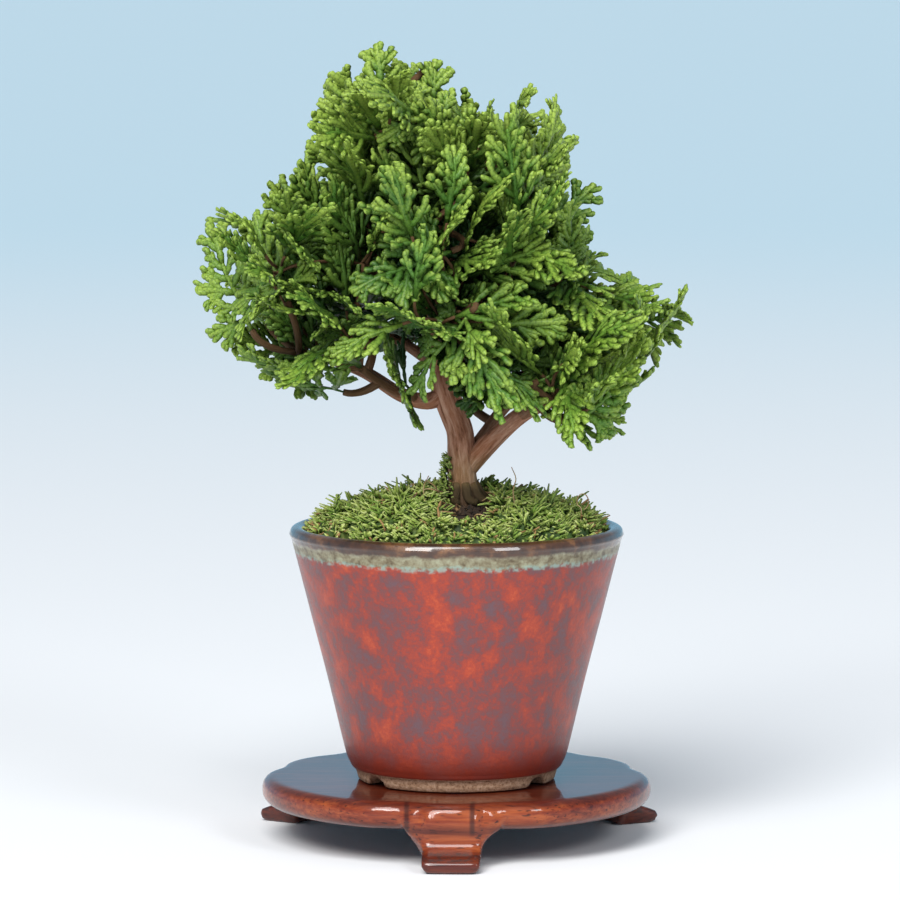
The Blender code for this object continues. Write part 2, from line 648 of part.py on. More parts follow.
def tube_shape(path, sides=5, margin=0.35):
    """A plain tube round a path, only for the clearance test."""
    points, faces = [], []
    for i, row in enumerate(path):
        ahead = path[min(i + 1, len(path) - 1)] - path[max(i - 1, 0)]
        along = unit(ahead[:3])
        across = unit(np.cross(along, (0.3, 0.5, 0.8)))
        for k in range(sides):
            points.append(row[:3] + turned_about(across, along, 2 * math.pi * k / sides) * (row[3] + margin))
    for i in range(len(path) - 1):
        for k in range(sides):
            j = (k + 1) % sides
            faces.append([i * sides + k, i * sides + j, (i + 1) * sides + j, (i + 1) * sides + k])
    return bvh(points, faces)


def clear_of(tree, others):
    return not any(tree.overlap(other) for other in others)


def grow_sprays():
    """Tries each spray in a few seeded ways until it clears the wood and the sprays before it."""
    wood = wood_points()
    limbs = [tube_shape(smooth_path(TRUNK, 2))] + [tube_shape(smooth_path(limb, 2)) for limb in LIMBS.values()]
    twig_trees, spray_trees, grown = [], [], []
    for mass_index, mass in enumerate(MASSES):
        for index in range(mass[-1]):
            for attempt in range(TRIES):
                rng = np.random.default_rng((SEED, mass_index, index, attempt))
                place = spray_place(mass, index, attempt, rng)
                sheet, faces = spray_where_it_grows(place, rng)
                tree = bvh(*skins(sheet, faces, BLADE + GAP))
                if sheet[:, 2].min() < LOWEST_LEAF or not clear_of(tree, limbs + twig_trees + spray_trees):
                    continue
                twig = twig_path(place[0], place[1], wood)
                if np.linalg.norm(twig[-1, :3] - twig[0, :3]) > TWIG_LONGEST:
                    continue
                twig_tree = tube_shape(twig)
                if not clear_of(twig_tree, spray_trees) or clear_of(twig_tree, limbs):
                    continue
                if tube_shape(twig[:-1]).overlap(tree):
                    continue
                twig_trees.append(twig_tree)
                spray_trees.append(tree)
                grown.append((sheet, faces, twig))
                break
    return grown


def build_sprays(grown, where, finish):
    """Each spray is a triangulated sheet with Solidify, so both of its faces split alike."""
    for number, (sheet, faces, _) in enumerate(grown):
        name = f"spray_{number:02d}"
        spray = add_object(name, mesh_from(sheet, faces, name), where, finish)
        blade = spray.modifiers.new("blade", "SOLIDIFY")
        blade.thickness = BLADE * MM
        blade.offset = 0


def stand_on_origin(*collections):
    """Hangs every piece on an empty, so that the world's origin is the middle of the whole outline."""
    axis = bpy.data.objects.new("pot_axis", None)
    collections[0].objects.link(axis)
    axis.location = (AXIS_X * MM, AXIS_Y * MM, 0)
    for each in collections:
        for piece in each.objects:
            if piece != axis:
                piece.parent = axis


def main():
    clear_scene()
    part = collection("hinoki_bonsai")
    tools = collection("cutters")
    lacquer = material("lacquered_wood", (0.28, 0.05, 0.015), 0.3)
    glaze = material("glazed_ceramic", (0.42, 0.09, 0.05), 0.25)
    net = material("plastic_net", (0.03, 0.03, 0.03), 0.6)
    earth = material("soil", (0.06, 0.035, 0.02), 0.95)
    turf = material("moss", (0.16, 0.26, 0.03), 0.9)
    bark = material("bark", (0.2, 0.08, 0.04), 0.85)
    leaf = material("scale_leaves", (0.06, 0.2, 0.02), 0.5)
    build_stand(part, tools, lacquer)
    build_pot(part, tools, glaze)
    build_drain_mesh(part, tools, net)
    build_soil(part, tools, earth)
    build_moss(part, tools, turf)
    grown = grow_sprays()
    build_wood(part, [spray[-1] for spray in grown], bark)
    build_sprays(grown, part, leaf)
    stand_on_origin(part, tools)
    print("sprays grown", len(grown), "of", sum(mass[-1] for mass in MASSES))


main()
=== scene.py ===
# %% [markdown]
# # A small hinoki cypress in its pot
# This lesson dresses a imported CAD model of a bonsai. Hinoki cypress is a conifer whose leaves are tiny
# scales pressed flat against the shoots, so a branch ends in flat, fan-like sprays. The CAD model holds
# each spray as one thin cut-out sheet. Here every sheet gives way to real shoots that follow the same
# skeleton, and the bark, moss, glaze, bare clay and lacquered wood get their surfaces.

# %% Load the frame
import math

import bpy
import numpy as np
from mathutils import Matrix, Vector


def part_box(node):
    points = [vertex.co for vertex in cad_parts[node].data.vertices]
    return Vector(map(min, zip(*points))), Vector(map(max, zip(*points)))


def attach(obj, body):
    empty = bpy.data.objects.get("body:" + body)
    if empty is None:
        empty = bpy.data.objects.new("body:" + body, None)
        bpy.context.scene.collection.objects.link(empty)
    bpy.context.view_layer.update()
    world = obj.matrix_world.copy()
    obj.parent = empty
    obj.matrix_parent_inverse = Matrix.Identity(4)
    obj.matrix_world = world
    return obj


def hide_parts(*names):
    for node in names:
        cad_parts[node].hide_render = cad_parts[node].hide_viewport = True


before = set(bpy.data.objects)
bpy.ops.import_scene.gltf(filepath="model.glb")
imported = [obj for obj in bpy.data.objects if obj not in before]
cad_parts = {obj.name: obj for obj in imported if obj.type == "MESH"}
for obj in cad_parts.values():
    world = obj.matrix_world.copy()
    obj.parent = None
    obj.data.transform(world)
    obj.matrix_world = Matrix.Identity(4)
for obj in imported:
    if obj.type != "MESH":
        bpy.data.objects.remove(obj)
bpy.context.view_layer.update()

MM = 0.001
pot_low, pot_high = (np.array(corner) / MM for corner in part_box("pot"))
stand_high = np.array(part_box("stand")[1]) / MM
AXIS = np.array(((pot_low[0] + pot_high[0]) / 2, (pot_low[1] + pot_high[1]) / 2, 0.0))
POT_BASE = pot_low[2]
POT_HEIGHT = pot_high[2] - pot_low[2]
RIM_RADIUS = (pot_high[0] - pot_low[0]) / 2
print("pot axis", AXIS.round(2), "pot from", POT_BASE.round(2), "rim radius", RIM_RADIUS.round(2))

# %% [markdown]
# ## Tools for meshes
# All shapes below are worked out in millimetres from the pot's axis and become metres in one place. A grid
# of points, rows of rings round a line, covers nearly everything that grows or is turned on a wheel, so one
# function makes the faces of such a grid for any number of copies at once.


# %% Mesh helpers
def unit(v):
    return v / np.linalg.norm(v, axis=-1, keepdims=True)


def turned_about(v, axis, angle):
    """v turned about a unit axis: the cosine keeps it, the sine moves it sideways."""
    cosine = math.cos(angle)
    return v * cosine + np.cross(axis, v) * math.sin(angle) + axis * (axis @ v) * (1 - cosine)


def grid_faces(rings, sides, copies=1):
    """Quads between neighbouring rings, for copies of one grid whose points follow each other."""
    ring, side = np.meshgrid(np.arange(rings - 1), np.arange(sides), indexing="ij")
    here = (ring * sides + side).ravel()
    beside = (ring * sides + (side + 1) % sides).ravel()
    quads = np.stack([here, beside, beside + sides, here + sides], 1)
    return (quads[None] + (np.arange(copies) * rings * sides)[:, None, None]).reshape(-1, 4)


def ring_faces(rings, sides):
    """Quads of a grid whose last ring also joins its first, seen from outside."""
    step = np.arange(sides)
    beside = (step + 1) % sides
    last = (rings - 1) * sides
    closing = np.stack([last + step, last + beside, beside, step], 1)
    return np.vstack([grid_faces(rings, sides), closing])[:, ::-1]


def make_piece(name, points, faces, finish, replaced=None, values=None, smooth=True):
    """A mesh object from points in millimetres about the pot's axis, riding on the body."""
    mesh = bpy.data.meshes.new(name)
    mesh.from_pydata((points + AXIS) * MM, [], faces.tolist() if isinstance(faces, np.ndarray) else faces)
    mesh.validate()
    for key, numbers in (values or {}).items():
        numbers = np.asarray(numbers, np.float32)
        kind, field = ("FLOAT", "value") if numbers.ndim == 1 else ("FLOAT_VECTOR", "vector")
        mesh.attributes.new(key, kind, "POINT").data.foreach_set(field, numbers.ravel())
    mesh.shade_smooth() if smooth else mesh.shade_flat()
    mesh.materials.append(finish)
    piece = bpy.data.objects.new(name, mesh)
    bpy.context.scene.collection.objects.link(piece)
    if replaced:
        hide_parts(replaced)
    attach(piece, "root")
    return piece


def smooth_path(points, per_span):
    """Catmull-Rom points through given rows, each row weighted by a cubic of the way along its span."""
    rows = np.array(points, float)
    padded = np.vstack([2 * rows[0] - rows[1], rows, 2 * rows[-1] - rows[-2]])
    path = []
    for i in range(1, len(padded) - 2):
        a, b, c, d = padded[i - 1 : i + 3]
        for t in np.arange(per_span) / per_span:
            path.append(0.5 * (2 * b + (c - a) * t + (2 * a - 5 * b + 4 * c - d) * t**2
                               + (3 * b - a - 3 * c + d) * t**3))
    path.append(rows[-1])
    return np.array(path)


# %% [markdown]
# ## Materials
# Every finish is procedural. Small helpers add the nodes that nearly all of them need: a noise field, a
# ramp and a bump. The shader itself stays in each material.


# %% Material helpers
class Finish:
    """A material with a Principled shader and short calls to add what feeds it."""

    def __init__(self, name, roughness=0.5, coat=0.0, coat_roughness=0.1):
        self.material = bpy.data.materials.new(name)
        self.material.use_nodes = True
        self.tree = self.material.node_tree
        self.shader = self.tree.nodes["Principled BSDF"]
        self.shader.inputs["Roughness"].default_value = roughness
        self.shader.inputs["Coat Weight"].default_value = coat
        self.shader.inputs["Coat Roughness"].default_value = coat_roughness
        self.place = self.tree.nodes.new("ShaderNodeTexCoord").outputs["Object"]

    def link(self, source, target):
        self.tree.links.new(source, target)

    def feed(self, name, source):
        self.link(source, self.shader.inputs[name])

    def stretched(self, scale, source=None):
        node = self.tree.nodes.new("ShaderNodeMapping")
        node.inputs["Scale"].default_value = scale
        self.link(source or self.place, node.inputs["Vector"])
        return node.outputs["Vector"]

    def noise(self, scale, detail=3.0, rough=0.5, vector=None, distortion=0.0):
        node = self.tree.nodes.new("ShaderNodeTexNoise")
        node.inputs["Scale"].default_value = scale
        node.inputs["Detail"].default_value = detail
        node.inputs["Roughness"].default_value = rough
        node.inputs["Distortion"].default_value = distortion
        self.link(vector or self.place, node.inputs["Vector"])
        return node.outputs["Fac"]

    def attribute(self, name, output="Fac"):
        node = self.tree.nodes.new("ShaderNodeAttribute")
        node.attribute_name = name
        return node.outputs[output]

    def place_along(self, axis):
        node = self.tree.nodes.new("ShaderNodeSeparateXYZ")
        self.link(self.place, node.inputs["Vector"])
        return node.outputs[axis]

    def height(self):
        """Height over the floor in millimetres."""
        return self.times(self.place_along("Z"), 1 / MM)

    def math(self, operation, a, b=0.0, clamp=False):
        node = self.tree.nodes.new("ShaderNodeMath")
        node.operation = operation
        node.use_clamp = clamp
        for value, socket in zip((a, b), node.inputs):
            if isinstance(value, (int, float)):
                socket.default_value = value
            else:
                self.link(value, socket)
        return node.outputs["Value"]

    def times(self, a, b):
        return self.math("MULTIPLY", a, b)

    def plus(self, a, b):
        return self.math("ADD", a, b)

    def minus(self, a, b):
        return self.math("SUBTRACT", a, b)

    def step(self, value, low, high):
        """0 below low, 1 above high and smooth between."""
        node = self.tree.nodes.new("ShaderNodeMapRange")
        node.interpolation_type = "SMOOTHSTEP"
        node.inputs["From Min"].default_value = low
        node.inputs["From Max"].default_value = high
        self.link(value, node.inputs["Value"])
        return node.outputs["Result"]

    def ramp(self, value, stops):
        """Colours by value, from rows of position, red, green and blue."""
        node = self.tree.nodes.new("ShaderNodeValToRGB")
        elements = node.color_ramp.elements
        for element, (position, *colour) in zip(elements, (stops[0], stops[-1])):
            element.position = position
            element.color = (*colour, 1)
        for position, *colour in stops[1:-1]:
            elements.new(position).color = (*colour, 1)
        self.link(value, node.inputs["Fac"])
        return node.outputs["Color"]

    def mottled(self, field, stops):
        """Colours by a noise field, given as its scale, detail and roughness."""
        return self.ramp(self.noise(*field), stops)

    def mix(self, factor, a, b):
        node = self.tree.nodes.new("ShaderNodeMix")
        node.data_type = "RGBA"
        for value, socket in ((factor, node.inputs[0]), (a, node.inputs[6]), (b, node.inputs[7])):
            if isinstance(value, tuple):
                socket.default_value = (*value, 1)
            elif isinstance(value, (int, float)):
                socket.default_value = value
            else:
                self.link(value, socket)
        return node.outputs[2]

    def bump(self, height, distance, strength=1.0):
        node = self.tree.nodes.new("ShaderNodeBump")
        node.inputs["Distance"].default_value = distance
        node.inputs["Strength"].default_value = strength
        self.link(height, node.inputs["Height"])
        self.feed("Normal", node.outputs["Normal"])


# %% [markdown]
# ## Where the sprays grow
# The CAD model drew each spray's place from a seeded rule, trying again until the spray cleared its
# neighbours. The same draws are repeated here. A crown is a few rounded masses of foliage, and a mass gives
# its sprays turns of the golden angle, from its top down.

# %% The layout rule
STALK_HALF = 0.65
FINGER_WIDTH = 2.2
SPREAD = 22.0
SIDE_FANS = ((3.0, 13.5, 78), (4.6, 13.5, 76), (10.6, 12.5, 59), (12.2, 12.0, 57))
SPRAY_LENGTH = 31.0
TWIG_RADIUS = 0.75
GAP = 0.3
SEED = 41
TRIES = 150
BOX_TOLERANCE = 1.1  # the CAD sheets have a thickness that the lines here don't have
TOP_FAN_HEIGHT = 18.6
GOLDEN = math.pi * (3 - math.sqrt(5))
# Each mass: its centre x, y and z, its half sizes, how much its sprays rise, and how many it has.
MASSES = [
    (-15, 0, 160, 12, 11, 15, 0.9, 6), (11, 0, 155, 14, 14, 9, 0.5, 5), (-26, -3, 139, 14, 15, 9, 0.4, 4),
    (-39, -2, 130, 13, 12, 9, 0.4, 4), (-34, -4, 112, 12, 13, 9, -0.2, 4),
    (-11, -14, 127, 15, 15, 10, 0.3, 5), (-6, -14, 110, 11, 13, 7, -0.5, 3),
    (17, -6, 137, 12, 15, 9, 0.5, 4), (31, -3, 117, 15, 17, 11, 0.3, 5), (23, -10, 104, 13, 14, 7, -0.4, 4),
    (-8, 20, 146, 14, 12, 10, 0.5, 2), (10, 20, 128, 14, 13, 10, 0.3, 3), (-25, 18, 122, 14, 12, 10, 0.2, 3),
    (-4, 20, 111, 13, 12, 9, -0.3, 2),
]


def spray_place(mass, index, attempt, rng):
    """Base point, growing direction and face normal of one spray on a mass, with its length."""
    loose = 1 + attempt / 30
    x, y, z, a, b, c, lift, count = mass
    centre, half = np.array((x, y, z), float), np.array((a, b, c), float)
    turn = GOLDEN * index + x + rng.uniform(-0.5, 0.5) * loose
    height = 0.92 - 1.35 * (index + 0.5) / count + rng.uniform(-0.15, 0.15) * loose
    height = min(0.98, max(-0.9, height))
    ring = math.sqrt(max(0.0, 1 - height**2))
    ball = np.array((ring * math.cos(turn), ring * math.sin(turn), height))
    spot = centre + half * ball * (rng.uniform(0.8, 1.1) + 0.003 * attempt)
    outward = unit(ball / half)
    lean = spot - centre + np.array((0.25 * x, 0.25 * y, lift * 14.0))
    tangent = unit(lean - outward * (lean @ outward) + rng.normal(0, 1.5, 3))
    aim = unit(outward * (0.35 + 0.45 * abs(outward[0])) + tangent)
    aim = turned_about(aim, outward, rng.uniform(-0.6, 0.6) * loose)
    front = 1 if y + 10 * ball[1] > 6 else -1
    look = outward + np.array((0, 0.7 * front, 0.2))
    face = unit(look - aim * (look @ aim))
    face = turned_about(face, aim, rng.uniform(-0.5, 0.5) * loose)
    length = SPRAY_LENGTH * rng.uniform(0.82, 1.0) * (1 - 0.0024 * attempt)
    return spot - aim * length * 0.62, aim, face, length


# %% [markdown]
# ## The sheet of one spray
# A spray is flat because its shoots branch in one plane only. Two fans of fingers leave the stalk on each
# side and one ends it. The plane then droops, cups and waves a little, as a living spray does.


# %% Fingers and arch
def fingers_of(origin, aim, reach, spread, lengths, width):
    """Rows of origin x, y, angle, length and width, one for each finger of a fan."""
    half = len(lengths) // 2
    return [(*origin, aim + spread * (half - i), reach * share, width) for i, share in enumerate(lengths)]


def spray_fingers(rng, length):
    """The fingers of one spray in its own plane, and the numbers that arch it."""
    scale = length / SPRAY_LENGTH
    width = FINGER_WIDTH * (0.8 + 0.2 * scale)
    hand = rng.choice((-1, 1))
    rows = []
    for step, (height, reach, aim) in enumerate(SIDE_FANS):
        side = hand if step % 2 == 0 else -hand
        turn = math.radians(aim + rng.uniform(-3, 3))
        size = reach * scale * rng.uniform(0.9, 1.06)
        fan = fingers_of((0.0, height * scale), turn, size, math.radians(SPREAD), (0.84, 1.0, 0.74), width)
        rows += [(x, y, side * angle, reach, wide) for x, y, angle, reach, wide in fan]
    size = 11.0 * scale * rng.uniform(0.94, 1.06)
    rows += fingers_of((0.0, TOP_FAN_HEIGHT * scale), 0.0, size, math.radians(SPREAD + 5),
                       (0.9, 1.0, 0.9), width)
    return np.array(rows), (rng.uniform(0.10, 0.22), rng.uniform(0.008, 0.02), rng.uniform(0, 6.28))


def arch(x, y, length, bends):
    """Height over a spray's plane: a rise and droop along it, a cup across it and a slow sine wave."""
    droop, cup, wave = bends
    return (0.35 * droop * y - droop * y**2 / length - cup * x**2
            + 0.5 * np.sin(0.42 * y + 0.25 * x + wave) * np.clip(y / 6, 0, 1))


def carried(place, x, y, z):
    """Points of a spray's own plane carried to its place in the crown."""
    base, aim, face, _ = place
    return base + x[..., None] * np.cross(aim, face) + y[..., None] * aim + z[..., None] * face


def tips_of(place, rows, bends):
    """The fingers' tips: each origin plus the finger's reach in its direction, on the arched sheet."""
    x0, y0, angle, reach, _ = rows.T
    x, y = x0 + np.sin(angle) * reach, y0 + np.cos(angle) * reach
    return carried(place, x, y, arch(x, y, place[3], bends))


# %% [markdown]
# ## Which try was kept
# The try that the CAD model kept shows in its node's box. So each spray is recognised by the first try whose
# own box, from the corners of its fingers' tips and its stalk, matches.


# %% Recognise the sprays
def outline_box(place, rows, bends):
    """Box of a sheet, from its fingers' end corners and its stalk, carried and arched."""
    x0, y0, angle, reach, width = rows.T
    along, across = np.stack([np.sin(angle), np.cos(angle)]), np.stack([np.cos(angle), -np.sin(angle)])
    tips = np.stack([x0, y0]) + along * reach
    stalk = np.array([[STALK_HALF, -STALK_HALF], [0, 0]])
    x, y = np.hstack([tips + across * width / 2, tips - across * width / 2, stalk])
    points = carried(place, x, y, arch(x, y, place[3], bends))
    return np.stack([points.min(0), points.max(0)])


def find_sprays(names):
    """Each CAD spray with its place, its fingers and its arch numbers."""
    boxes = [np.array(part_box(name)) / MM - AXIS for name in names]
    found = []
    for mass_index, mass in enumerate(MASSES):
        for index in range(mass[-1]):
            for attempt in range(TRIES):
                if len(found) == len(names):
                    return found
                rng = np.random.default_rng((SEED, mass_index, index, attempt))
                place = spray_place(mass, index, attempt, rng)
                rows, bends = spray_fingers(rng, place[3])
                if np.abs(outline_box(place, rows, bends) - boxes[len(found)]).max() < BOX_TOLERANCE:
                    found.append((names[len(found)], place, rows, bends))
                    break
    return found


spray_names = sorted(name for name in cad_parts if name.startswith("spray_"))
sprays = find_sprays(spray_names)
print("sprays recognised", len(sprays), "of", len(spray_names))
assert len(sprays) == len(spray_names)

# %% [markdown]
# ## Lines of the wood
# The trunk leans, forks low and tapers, and every limb leaves it at a place that the photograph shows or
# that its foliage needs. Each row is x, y, height and radius in millimetres, as in the CAD model.

# %% Wood lines
TRUNK = [
    (1.4, 0.0, 65.0, 4.3), (1.4, 0.0, 73.0, 4.5), (1.5, 0.0, 78.0, 4.0), (1.3, 0.0, 82.5, 3.2),
    (1.1, 0.0, 88.0, 3.1), (0.6, 0.0, 93.0, 3.0), (-1.4, 0.0, 98.5, 3.0), (-2.6, 0.2, 103.0, 3.1),
    (-3.1, 1.0, 107.0, 2.8), (-3.8, 3.0, 114.0, 2.3), (-5.8, 4.0, 124.0, 2.0), (-8.6, 3.6, 135.0, 1.7),
    (-11.4, 2.6, 146.0, 1.4), (-14.0, 1.2, 156.0, 1.1), (-15.4, 0.0, 165.0, 0.8),
]
LIMBS = {
    "low_left": [(-2.2, 0.0, 101.5, 2.0), (-6.6, -0.8, 99.4, 1.9), (-12.7, -2.2, 101.2, 1.6),
                 (-20.0, -4.5, 106.0, 1.4), (-27.5, -6.5, 109.0, 1.1), (-35.0, -8.0, 111.0, 0.8)],
    "low_left_front": [(-12.7, -2.2, 101.2, 1.2), (-17.0, -9.0, 104.5, 1.0), (-21.0, -16.0, 108.0, 0.8)],
    "low_right": [(2.6, 0.0, 84.5, 2.3), (6.4, -1.4, 89.2, 2.3), (9.7, -2.8, 92.6, 2.1),
                  (14.2, -4.4, 96.6, 1.9), (19.0, -6.0, 99.2, 1.6), (25.0, -7.5, 101.0, 1.3),
                  (32.0, -8.5, 104.5, 1.0), (37.0, -8.5, 108.5, 0.8)],
    "low_right_front": [(14.2, -4.4, 96.6, 1.4), (18.5, -11.5, 99.5, 1.1), (21.5, -19.0, 101.5, 0.8)],
    "low_right_back": [(2.6, 0.8, 87.0, 1.5), (6.6, 3.0, 92.0, 1.5), (10.0, 5.6, 96.5, 1.3),
                       (15.5, 10.0, 101.5, 1.1), (22.0, 14.5, 106.0, 0.9), (28.0, 17.0, 110.0, 0.7)],
    "mid_back_left": [(-3.1, 1.4, 106.0, 1.6), (-8.5, 8.0, 109.5, 1.3), (-16.0, 14.0, 114.0, 1.0),
                      (-24.0, 18.0, 119.0, 0.8)],
    "mid_front": [(-3.4, 1.4, 110.0, 1.5), (-2.6, -6.0, 113.0, 1.3), (-2.0, -13.5, 116.0, 1.0),
                  (-2.0, -20.0, 118.0, 0.8)],
    "mid_right": [(-4.0, 3.0, 115.0, 1.6), (4.0, 1.0, 119.0, 1.4), (13.0, -1.0, 124.0, 1.1),
                  (22.0, -2.0, 128.5, 0.8)],
    "mid_right_back": [(4.0, 1.0, 119.0, 1.2), (9.0, 8.5, 124.0, 1.0), (14.0, 15.5, 128.5, 0.8)],
    "mid_left": [(-4.8, 3.6, 119.0, 1.5), (-13.0, 1.5, 123.0, 1.3), (-23.0, -0.5, 127.0, 1.1),
                 (-33.0, -2.0, 131.0, 0.8)],
    "mid_left_front": [(-13.0, 1.5, 123.0, 1.1), (-17.5, -6.5, 127.5, 0.9), (-21.0, -13.0, 131.0, 0.8)],
    "mid_back": [(-5.8, 4.4, 124.0, 1.4), (-5.5, 12.0, 128.0, 1.1), (-5.0, 20.0, 132.0, 0.8)],
    "high_front": [(-7.8, 3.4, 131.0, 1.3), (-7.5, -4.0, 135.5, 1.0), (-7.0, -12.0, 139.5, 0.8)],
    "high_right": [(-8.6, 3.6, 134.0, 1.4), (0.0, 2.6, 141.0, 1.1), (8.0, 1.6, 147.0, 0.8)],
    "high_left": [(-10.5, 3.0, 142.0, 1.2), (-17.5, 1.5, 147.0, 1.0), (-24.5, 0.0, 151.5, 0.8)],
    "high_back": [(-10.9, 2.8, 145.0, 1.1), (-11.0, 10.0, 150.0, 0.9), (-11.0, 16.5, 154.0, 0.7)],
}


# %% [markdown]
# ## More sprays than the CAD model can hold
# A real crown has several layers of sprays. Further sprays grow from the limbs wherever the crown is still
# open: of many seeded tries, the one farthest from all sprays so far is kept, if it stays inside the
# crown's outline. The outline was measured on the photograph at a few heights.

# %% Fill the crown
# The crown's outline: height, and x of its left and its right edge there.
OUTLINE = np.array((
    (93, 27, 38), (96, 20, 40), (99, -4, 38), (103, -30, 40), (106, -46, 40), (113, -43, 43),
    (124, -55, 43), (133, -51, 29), (141, -54, 27), (149, -38, 26), (158, -31, 27), (163, -31, 19),
    (167, -30, 2), (170, -28, -7), (176, -19, -12),
))
CROWN_TOP = 174
WINDOW = (-25.0, -6.0, 109.0)  # between these two x and under this height the photograph shows a bare limb
FILL_SPRAYS = 275
FILL_TRIES = 90
CROWN_MIDDLE = np.array((-5.0, 0.0, 122.0))
CROWN_HALF = np.array((46.0, 36.0, 46.0))
FILL_FROM = np.array((-6.0, 2.0, 112.0))  # further sprays point away from here


def wood_points():
    """Points along the upper trunk and all limbs, from which twigs may start."""
    rows = [smooth_path(TRUNK[8:], 4)]
    rows += [smooth_path(limb[1:], 4) for limb in LIMBS.values()]
    return np.vstack(rows)


def inside_crown(points, depth):
    """True if every point is between the outline's edges at its height and outside the bare window."""
    left = np.interp(points[:, 2], OUTLINE[:, 0], OUTLINE[:, 1])
    right = np.interp(points[:, 2], OUTLINE[:, 0], OUTLINE[:, 2])
    inside = (points[:, 0] > left) & (points[:, 0] < right)
    inside &= (points[:, 1] > depth[0]) & (points[:, 1] < depth[1])
    inside &= (points[:, 2] > OUTLINE[0, 0]) & (points[:, 2] < CROWN_TOP)
    in_window = (points[:, 0] > WINDOW[0]) & (points[:, 0] < WINDOW[1]) & (points[:, 2] < WINDOW[2])
    return bool((inside & ~in_window).all())


def fill_place(wood, rng):
    """A spray from a random point of the limbs, aimed away from the crown's middle and a little up."""
    start = wood[rng.integers(len(wood)), :3]
    aim = unit(unit(start - FILL_FROM) + (0, 0, 0.3) + rng.normal(0, 0.7, 3))
    front = 1 if start[1] > 5 else -1
    look = np.array((0, 0.7 * front, 0.75)) + rng.normal(0, 0.45, 3)
    face = unit(look - aim * (look @ aim))
    length = SPRAY_LENGTH * rng.uniform(0.42, 0.8)
    return start + aim * rng.uniform(0, 7), aim, face, length


def middle_of(place):
    """The middle of a spray's blade, six tenths of the way along it."""
    base, aim, _, length = place
    return base + aim * length * 0.6


def fill_crown(kept):
    """Best of many candidates, one spray after the other, each with the CAD spray that it joins."""
    places = [place for _, place, _, _ in kept]
    stalks = [np.append(base + aim * length * share, TWIG_RADIUS)
              for base, aim, _, length in places for share in (0.1, 0.3)]
    starts = np.vstack([wood_points(), stalks, stalks])
    tips = np.vstack([tips_of(*spray[1:]) for spray in kept])
    depth = (tips[:, 1].min(), tips[:, 1].max())
    centres = [middle_of(place) for place in places]
    added = []
    for index in range(FILL_SPRAYS):
        rng = np.random.default_rng((SEED, 500, index))
        most, best = 0.0, None
        for _ in range(FILL_TRIES):
            place = fill_place(starts, rng)
            rows, bends = spray_fingers(rng, place[3])
            if not inside_crown(tips_of(place, rows, bends), depth):
                continue
            room = np.linalg.norm(np.array(centres) - middle_of(place), axis=1)
            if room.min() > most:
                most, best = room.min(), (int(room[: len(kept)].argmin()), place, rows, bends)
        if best:
            added.append(best)
            centres.append(middle_of(best[1]))
    return added


fill_sprays = fill_crown(sprays)
print("further sprays", len(fill_sprays))

# %% [markdown]
# ## Shoots of scale leaves
# A hinoki shoot is a flat braid: pairs of blunt scales overlap like roof tiles, so the shoot widens a little
# towards each scale's end. One grid makes it: rings of points round the shoot's line and a blunt tip. Every
# finger of the sheet becomes one leading shoot with shorter side shoots, in the sheet's own arched surface.

# %% Shoots
SHOOT_SIDES = 4
LEAD_SCALES = 4
SIDE_SCALES = 1
LEAD_WIDTH = 1.85
SIDE_WIDTH = 1.5
SHOOT_THICKNESS = 0.5  # as a share of the width
SIDE_SPOTS = (0.3, 0.46, 0.6, 0.75)
FEW_SPOTS = (0.34, 0.54, 0.74)
# Branchlets between a sheet's fans, as height, length and angle.
BETWEEN = np.array(((6.6, 9.5, 64), (8.2, 9.5, 60), (14.2, 9.0, 50), (15.6, 8.5, 46), (17.2, 8.0, 40)))


def scale_rings(scales):
    """Where the rings stand along a shoot, and how wide each is. The last scale is blunt."""
    if scales == 1:
        return np.array((0.03, 0.42, 0.84, 1.0)), np.array((0.75, 1.0, 1.02, 0.5))
    spots = [(scale + part) / scales for scale in range(scales) for part in (0.05, 0.85)]
    return np.array(spots + [1.0]), np.array([0.6, 1.08] + [0.86, 1.08] * (scales - 2) + [0.86, 1.0, 0.5])


def shoot_grid(rows, scales, place, bends):
    """Many shoots at once: points, faces, way along, run in millimetres and side of the shoot."""
    x0, y0, angle, reach, width, sag, curl = rows.T[:, :, None, None]
    spots, widths = scale_rings(scales)
    round_ = np.arange(SHOOT_SIDES) / SHOOT_SIDES * 2 * math.pi
    t = spots[None, :, None]
    heading = angle + curl * t
    half = width / 2 * widths[None, :, None]
    x = x0 + np.sin(heading) * reach * t + np.cos(heading) * half * np.cos(round_)
    y = y0 + np.cos(heading) * reach * t - np.sin(heading) * half * np.cos(round_)
    z = arch(x, y, place[3], bends) + half * SHOOT_THICKNESS * np.sin(round_) + sag * t**2
    points = carried(place, x, y, z)
    copies, rings, sides, _ = points.shape
    starts = np.arange(copies)[:, None] * rings * sides
    ends = (starts + np.arange(sides)).tolist()
    ends += (starts + (rings - 1) * sides + np.arange(sides)[::-1]).tolist()
    faces = grid_faces(rings, sides, copies)[:, ::-1].tolist() + ends
    way = np.broadcast_to(t, points.shape[:3]).ravel()
    run = np.broadcast_to(t * reach, points.shape[:3]).ravel()
    side = np.broadcast_to(np.cos(round_), points.shape[:3]).ravel()
    return points.reshape(-1, 3), faces, way, run, side


# %% [markdown]
# ## From fingers to branchlets
# A sheet's fingers become leading shoots. Short side shoots leave them by turns on the left and on the
# right, and the further sprays get an axis with branchlets of its own.


# %% Leading and side shoots
def along(angle):
    """The direction in a sheet's plane at an angle from its axis: its sine across and its cosine along."""
    return np.stack([np.sin(angle), np.cos(angle)], -1)


